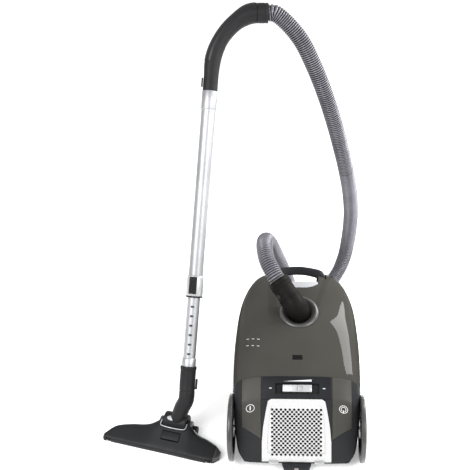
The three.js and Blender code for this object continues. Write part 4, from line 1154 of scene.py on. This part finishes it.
# The grip's half width and half depth along its length.
grip_wide = through([(0, 0.0166), (0.034, 0.0166), (0.062, 0.018), (0.090, 0.018), (0.118, 0.0176),
                     (0.145, 0.0182), (0.170, 0.019), (0.192, 0.0214), (0.204, 0.0224),
                     (GRIP_LENGTH, 0.0224)])
grip_deep = through([(0, 0.0166), (0.034, 0.0166), (0.062, 0.0172), (0.118, 0.0172), (0.170, 0.018),
                     (0.192, 0.0194), (GRIP_LENGTH, 0.0206)])


def add_grip():
    """The curved, ribbed grip, bored through along its middle line."""
    distances = np.linspace(GAP, GRIP_LENGTH, 260)
    across = WAND.to_3x3() @ Vector((1, 0, 0))

    def outline(i):
        d = distances[i]
        ridge = 0.0005 * (0.5 + 0.5 * math.cos(2 * math.pi * d / 0.006)) if 0.105 < d < 0.185 else 0
        return [(a * (grip_wide(d) - max(a, 0) * ridge), b * grip_deep(d)) for a, b in rounded(2, 2, 2.2, 64)]

    grip = loft(sweep([grip_frame(d)[0] for d in distances], outline, across))
    bore_path = [grip_frame(d)[0] for d in np.linspace(-0.002, GRIP_LENGTH + 0.002, 90)]
    bore = loft(sweep(bore_path, lambda i: circle(0.014, 40), across))
    finish_piece(cut(grip, bore), "grip_skin", "wand_plastic", "wand_upper", ["grip"], sharp=40)
    add_grip_overlay([d for d in distances if 0.064 < d < GRIP_LENGTH - 0.002], across)


def add_grip_overlay(distances, across):
    """A thin glossy shell along the back of the grip."""
    arc = [(a, b) for a, b in rounded(2, 2, 2.2, 64) if a < -0.2]

    def outline(i):
        wide, deep = grip_wide(distances[i]), grip_deep(distances[i])
        outer = [(a * (wide + 0.0009), b * (deep + 0.0009)) for a, b in arc]
        inner = [(a * (wide - 0.0006), b * (deep - 0.0006)) for a, b in reversed(arc)]
        return outer + inner

    overlay = loft(sweep([grip_frame(d)[0] for d in distances], outline, across))
    finish_piece(overlay, "grip_overlay", "grip_gloss", "wand_upper", sharp=40)


def add_grip_fittings():
    """The swivel cuff at the hose end and the air slide near the tube."""
    centre, axis = grip_frame(GRIP_LENGTH)
    profile = [(0.016, GAP), (0.0212, GAP), (0.0223, 0.0014), (0.0224, 0.017), (0.0217, 0.0176),
               (0.0217, 0.0186), (0.0223, 0.0192), (0.0222, 0.0236), (0.021, 0.0256), (0.016, 0.0256)]
    cuff = lathe(profile, aim(axis, centre))
    finish_piece(cuff, "grip_cuff_skin", "wand_plastic", "wand_upper", ["grip_cuff"])
    slide = block((-0.0206, -0.0174), (-0.007, 0.007), (AT_GRIP + 0.008, AT_GRIP + 0.028), WAND)
    finish_piece(soften(slide, 0.0012), "air_slide_skin", "wand_plastic", "air_slide", ["air_slide"])


# ---- Floor head -------------------------------------------------------------------------------

HEAD_LEFT, HEAD_RIGHT, HEAD_NOMINAL, HEAD_HUB, PIVOT_Y = 0.153, 0.118, 0.131, 0.034, 0.074
HEAD_WALL = 0.0025
REAR_MIDDLE = [(0, 0.092), (0.030, 0.088), (0.038, 0.074), (0.056, 0.062), (0.090, 0.053)]
head_rear = {"left": through([*REAR_MIDDLE, (0.113, 0.043), (0.122, 0.032), (0.131, 0.015)]),
             "right": through([*REAR_MIDDLE, (0.111, 0.046), (0.120, 0.042), (0.131, 0.034)])}
head_front = {"left": through([(0, 0.004), (0.131, 0.004)]),
              "right": through([(0, 0.004), (0.108, 0.004), (0.121, 0.009), (0.131, 0.021)])}
head_top = through([(0, 0.047), (0.030, 0.046), (0.038, 0.040), (0.056, 0.031), (0.090, 0.027),
                    (0.118, 0.023), (0.131, 0.017)])


def nominal_place(x):
    """The place on a head with equal arms that lies at x on the real one."""
    arm = HEAD_LEFT if x < 0 else HEAD_RIGHT
    beyond = max(abs(x) - HEAD_HUB, 0) / (arm - HEAD_HUB)
    return min(abs(x), HEAD_HUB) + beyond * (HEAD_NOMINAL - HEAD_HUB)


def head_section(x, inset, floor):
    place = nominal_place(x)
    side = "left" if x < 0 else "right"
    front, rear = head_front[side](place) + inset, head_rear[side](place) - inset
    top = head_top(place) - inset
    depth = rear - front
    lip = 0.015
    corners = [(front, floor), (front, 0.011), (front + 0.002, lip),
               (front + 0.3 * depth, lip + 0.38 * (top - lip)),
               (front + 0.6 * depth, lip + 0.82 * (top - lip)), (front + 0.78 * depth, top),
               (front + 0.92 * depth, top - 0.002), (rear, 0.65 * top), (rear, floor)]
    return [(x, y, z) for y, z in rounded_corners(corners)]


def rounded_corners(corners):
    """An outline with its upper corners cut by short chords, so that it reads as a soft edge."""
    outline = [corners[0]]
    for before, corner, after in zip(corners, corners[1:], corners[2:]):
        first, last = blend_point(corner, before, 0.32), blend_point(corner, after, 0.32)
        middle = tuple(0.25 * b + 0.5 * c + 0.25 * a for b, c, a in zip(first, corner, last))
        outline += [first, middle, last]
    return [*outline, corners[-1]]


def blend_point(a, b, t):
    return tuple(p + (q - p) * t for p, q in zip(a, b))


def head_solid(inset, floor):
    stations = np.linspace(-(HEAD_LEFT - inset), HEAD_RIGHT - inset, 140)
    return loft([head_section(x, inset, floor) for x in stations], HEAD)


def drum_slot(grow):
    half = DRUM_HALF + 0.0015 + grow
    return block((-half, half), (PIVOT_Y - DRUM_RADIUS - 0.005 - grow, 0.120), (-0.005, 0.080), HEAD)


def mode_block(grow, low, high):
    return block((-0.021 - grow, 0.021 + grow), (0.025 - grow, 0.043 + grow), (low, high), HEAD)


def head_rod(radius, x0, x1, y, z, sides=48):
    place = HEAD @ Matrix.Translation((0, y, z)) @ Matrix.Rotation(math.pi / 2, 4, "Y")
    return rod(radius, x0, x1, place, sides)


HEAD_WHEELS_X, HEAD_ROLLERS_X = (-0.041, 0.041), (-0.141, 0.097)
HEAD_WHEEL_Y, HEAD_ROLLER_Y = 0.079, 0.011


def add_head():
    wheels = [head_rod(0.0135, x - 0.006, x + 0.006, HEAD_WHEEL_Y, 0.012) for x in HEAD_WHEELS_X]
    rollers = [block((x - 0.0055, x + 0.0055), (-0.005, 0.0185), (-0.005, 0.013), HEAD)
               for x in HEAD_ROLLERS_X]
    shell = cut(cut(head_solid(0, 0.006), drum_slot(0)), cut(head_solid(HEAD_WALL, 0), drum_slot(HEAD_WALL)),
                mode_block(0.0006, 0.010, 0.080), *wheels, *rollers)
    finish_piece(shell, "head_shell_skin", "head_plastic", "canister", ["head_shell"], sharp=40)


def add_pivot_caps():
    """Ribbed caps on both ends of the neck's pivot."""
    cap_y, cap_z, ribs = PIVOT_Y - 0.002, 0.031, 20
    for name, side in (("left", -1), ("right", 1)):
        low, high = sorted((side * 0.0325, side * 0.0375))
        cap = soften(head_rod(0.0125, low, high, cap_y, cap_z), 0.001)
        notches = []
        for c, s in circle(0.0127, ribs):
            notches.append(head_rod(0.0008, low - 0.001, high + 0.001, cap_y + c, cap_z + s, 8))
        finish_piece(cut(cap, *notches), f"head_pivot_cap_{name}", "wheel", "canister")


def add_head_trims():
    """The trim along the recess, the light strip on the right rear edge and the right end cap."""
    edge = PIVOT_Y - DRUM_RADIUS - 0.0055
    trim = [(-0.0295, edge + 0.014, 0.0465), (-0.0295, edge + 0.003, 0.0435), (-0.027, edge, 0.0428),
            (0.027, edge, 0.0428), (0.0295, edge + 0.003, 0.0435), (0.0295, edge + 0.014, 0.0465)]
    path, _, _ = smooth_path([HEAD @ Vector(p) for p in trim], 0.001)
    line = loft(sweep(path, lambda i: rounded(0.0022, 0.0022, 3, 14)))
    finish_piece(line, "head_recess_trim", "silver_trim", "canister", sharp=60)
    edge_line = []
    for x in np.linspace(0.044, 0.106, 12):
        place = nominal_place(x)
        front, rear = head_front["right"](place), head_rear["right"](place)
        edge_line.append(HEAD @ Vector((x, rear - 0.05 * (rear - front), 0.86 * head_top(place))))
    path, _, _ = smooth_path(edge_line, 0.001)
    strip = loft(sweep(path, lambda i: rounded(0.0026, 0.0026, 3, 12)))
    finish_piece(strip, "head_edge_strip", "light_grey", "canister", sharp=60)
    end = common(head_solid(-0.0004, 0.007), block((0.107, 0.130), (-0.01, 0.1), (0, 0.05), HEAD))
    finish_piece(end, "head_end_cap", "wheel", "canister")


def add_mode_pedal():
    tilt = Matrix.Translation((0, 0.034, 0.029)) @ Matrix.Rotation(math.radians(24), 4, "X")
    pedal = soften(block((-0.021, 0.021), (-0.009, 0.009), (-0.003, 0.003), HEAD @ tilt), 0.0012)
    finish_piece(pedal, "mode_pedal_skin", "head_plastic", "mode_pedal", ["mode_pedal"])


def add_bristles():
    """Rows of short tufts in the brush frame."""
    tufts = []
    for i in range(70):
        x = -0.124 + 0.218 * i / 69
        for y in (0.0285, 0.0315):
            place = HEAD @ Matrix.Translation((x, y, 0))
            tufts.append(loft([[(1.15 * a, b, 0.0006) for a, b in circle(0.0014, 8)],
                               [(a, b, 0.0051) for a, b in circle(0.0011, 8)]], place))
    finish_piece(gathered(tufts), "brush_strip_tufts", "bristle", "brush", ["brush_strip"])


def add_rollers():
    for kind, places, y, radius, half in (("wheel", HEAD_WHEELS_X, HEAD_WHEEL_Y, 0.012, 0.0045),
                                          ("roller", HEAD_ROLLERS_X, HEAD_ROLLER_Y, 0.006, 0.004)):
        for side, x in zip(("left", "right"), places):
            name = f"head_{kind}_{side}"
            wheel = soften(head_rod(radius, x - half, x + half, y, radius), 0.0012)
            finish_piece(wheel, f"{name}_skin", "rubber", name, [name])


# ---- Stage ------------------------------------------------------------------------------------

def add_floor():
    floor = block((-12, 12), (-12, 12), (-0.02, 0.0))
    floor.name = "floor"
    floor.data.materials.append(floor_material())


def add_light(name, place, target, size, power):
    """A rectangular lamp at place that points at target."""
    data = bpy.data.lights.new(name, "AREA")
    data.shape = "RECTANGLE"
    data.size, data.size_y = size
    data.energy = power
    light = bpy.data.objects.new(name, data)
    bpy.context.scene.collection.objects.link(light)
    light.visible_camera = False
    turn = (target - place).to_track_quat("-Z", "Y").to_matrix().to_4x4()
    light.matrix_world = Matrix.Translation(place) @ turn


def add_lights():
    """Two large lights beside the viewer, a panel mirrored in the lid's right side, and a pale room."""
    target = ORIGIN + Vector((-0.05, 0.25, 0.15))
    add_light("key", ORIGIN + Vector((-1.6, -1.5, 2.3)), target, (1.8, 1.8), 80)
    add_light("fill", ORIGIN + Vector((1.9, -1.2, 2.0)), target, (1.6, 1.6), 60)
    lid_side = ORIGIN + Vector((0.10, 0.22, 0.205))
    add_light("lid_panel", ORIGIN + Vector((0.78, 0.78, 0.87)), lid_side, (0.68, 0.62), 18)
    world = bpy.data.worlds.new("studio")
    world.use_nodes = True
    background = world.node_tree.nodes["Background"]
    background.inputs["Color"].default_value = (1, 1, 1, 1)
    background.inputs["Strength"].default_value = 0.75
    bpy.context.scene.world = world
    bpy.context.scene.view_settings.view_transform = "Standard"


def paint_hidden_nodes():
    """Every CAD node that still shows gets its slot's material."""
    slots = {entry["node"]: entry["material_slot"] for entry in frame["record"]["subparts"]}
    for node, name in slots.items():
        shape = bpy.data.objects.get(node)
        if shape is not None and not shape.hide_render:
            for material_slot in shape.material_slots:
                material_slot.material = MATERIALS[name]


add_hose()
shell = housing_shell()
add_housing(shell)
add_rear(shell)
add_slider()
add_prints()
add_lid_marks()
add_grille()
add_hook()
add_handle()
add_lid()
add_collar()
add_elbow()
add_elbow_buttons()
for wheel_name, wheel_side in (("wheel_left", -1), ("wheel_right", 1)):
    add_wheel(wheel_name, wheel_side)
add_outlet()
add_neck()
add_neck_collar()
add_lower_tube()
add_upper_tube()
add_parking_clip()
add_latch()
add_grip()
add_grip_fittings()
add_head()
add_pivot_caps()
add_head_trims()
add_mode_pedal()
add_bristles()
add_rollers()
paint_hidden_nodes()
add_floor()
add_lights()
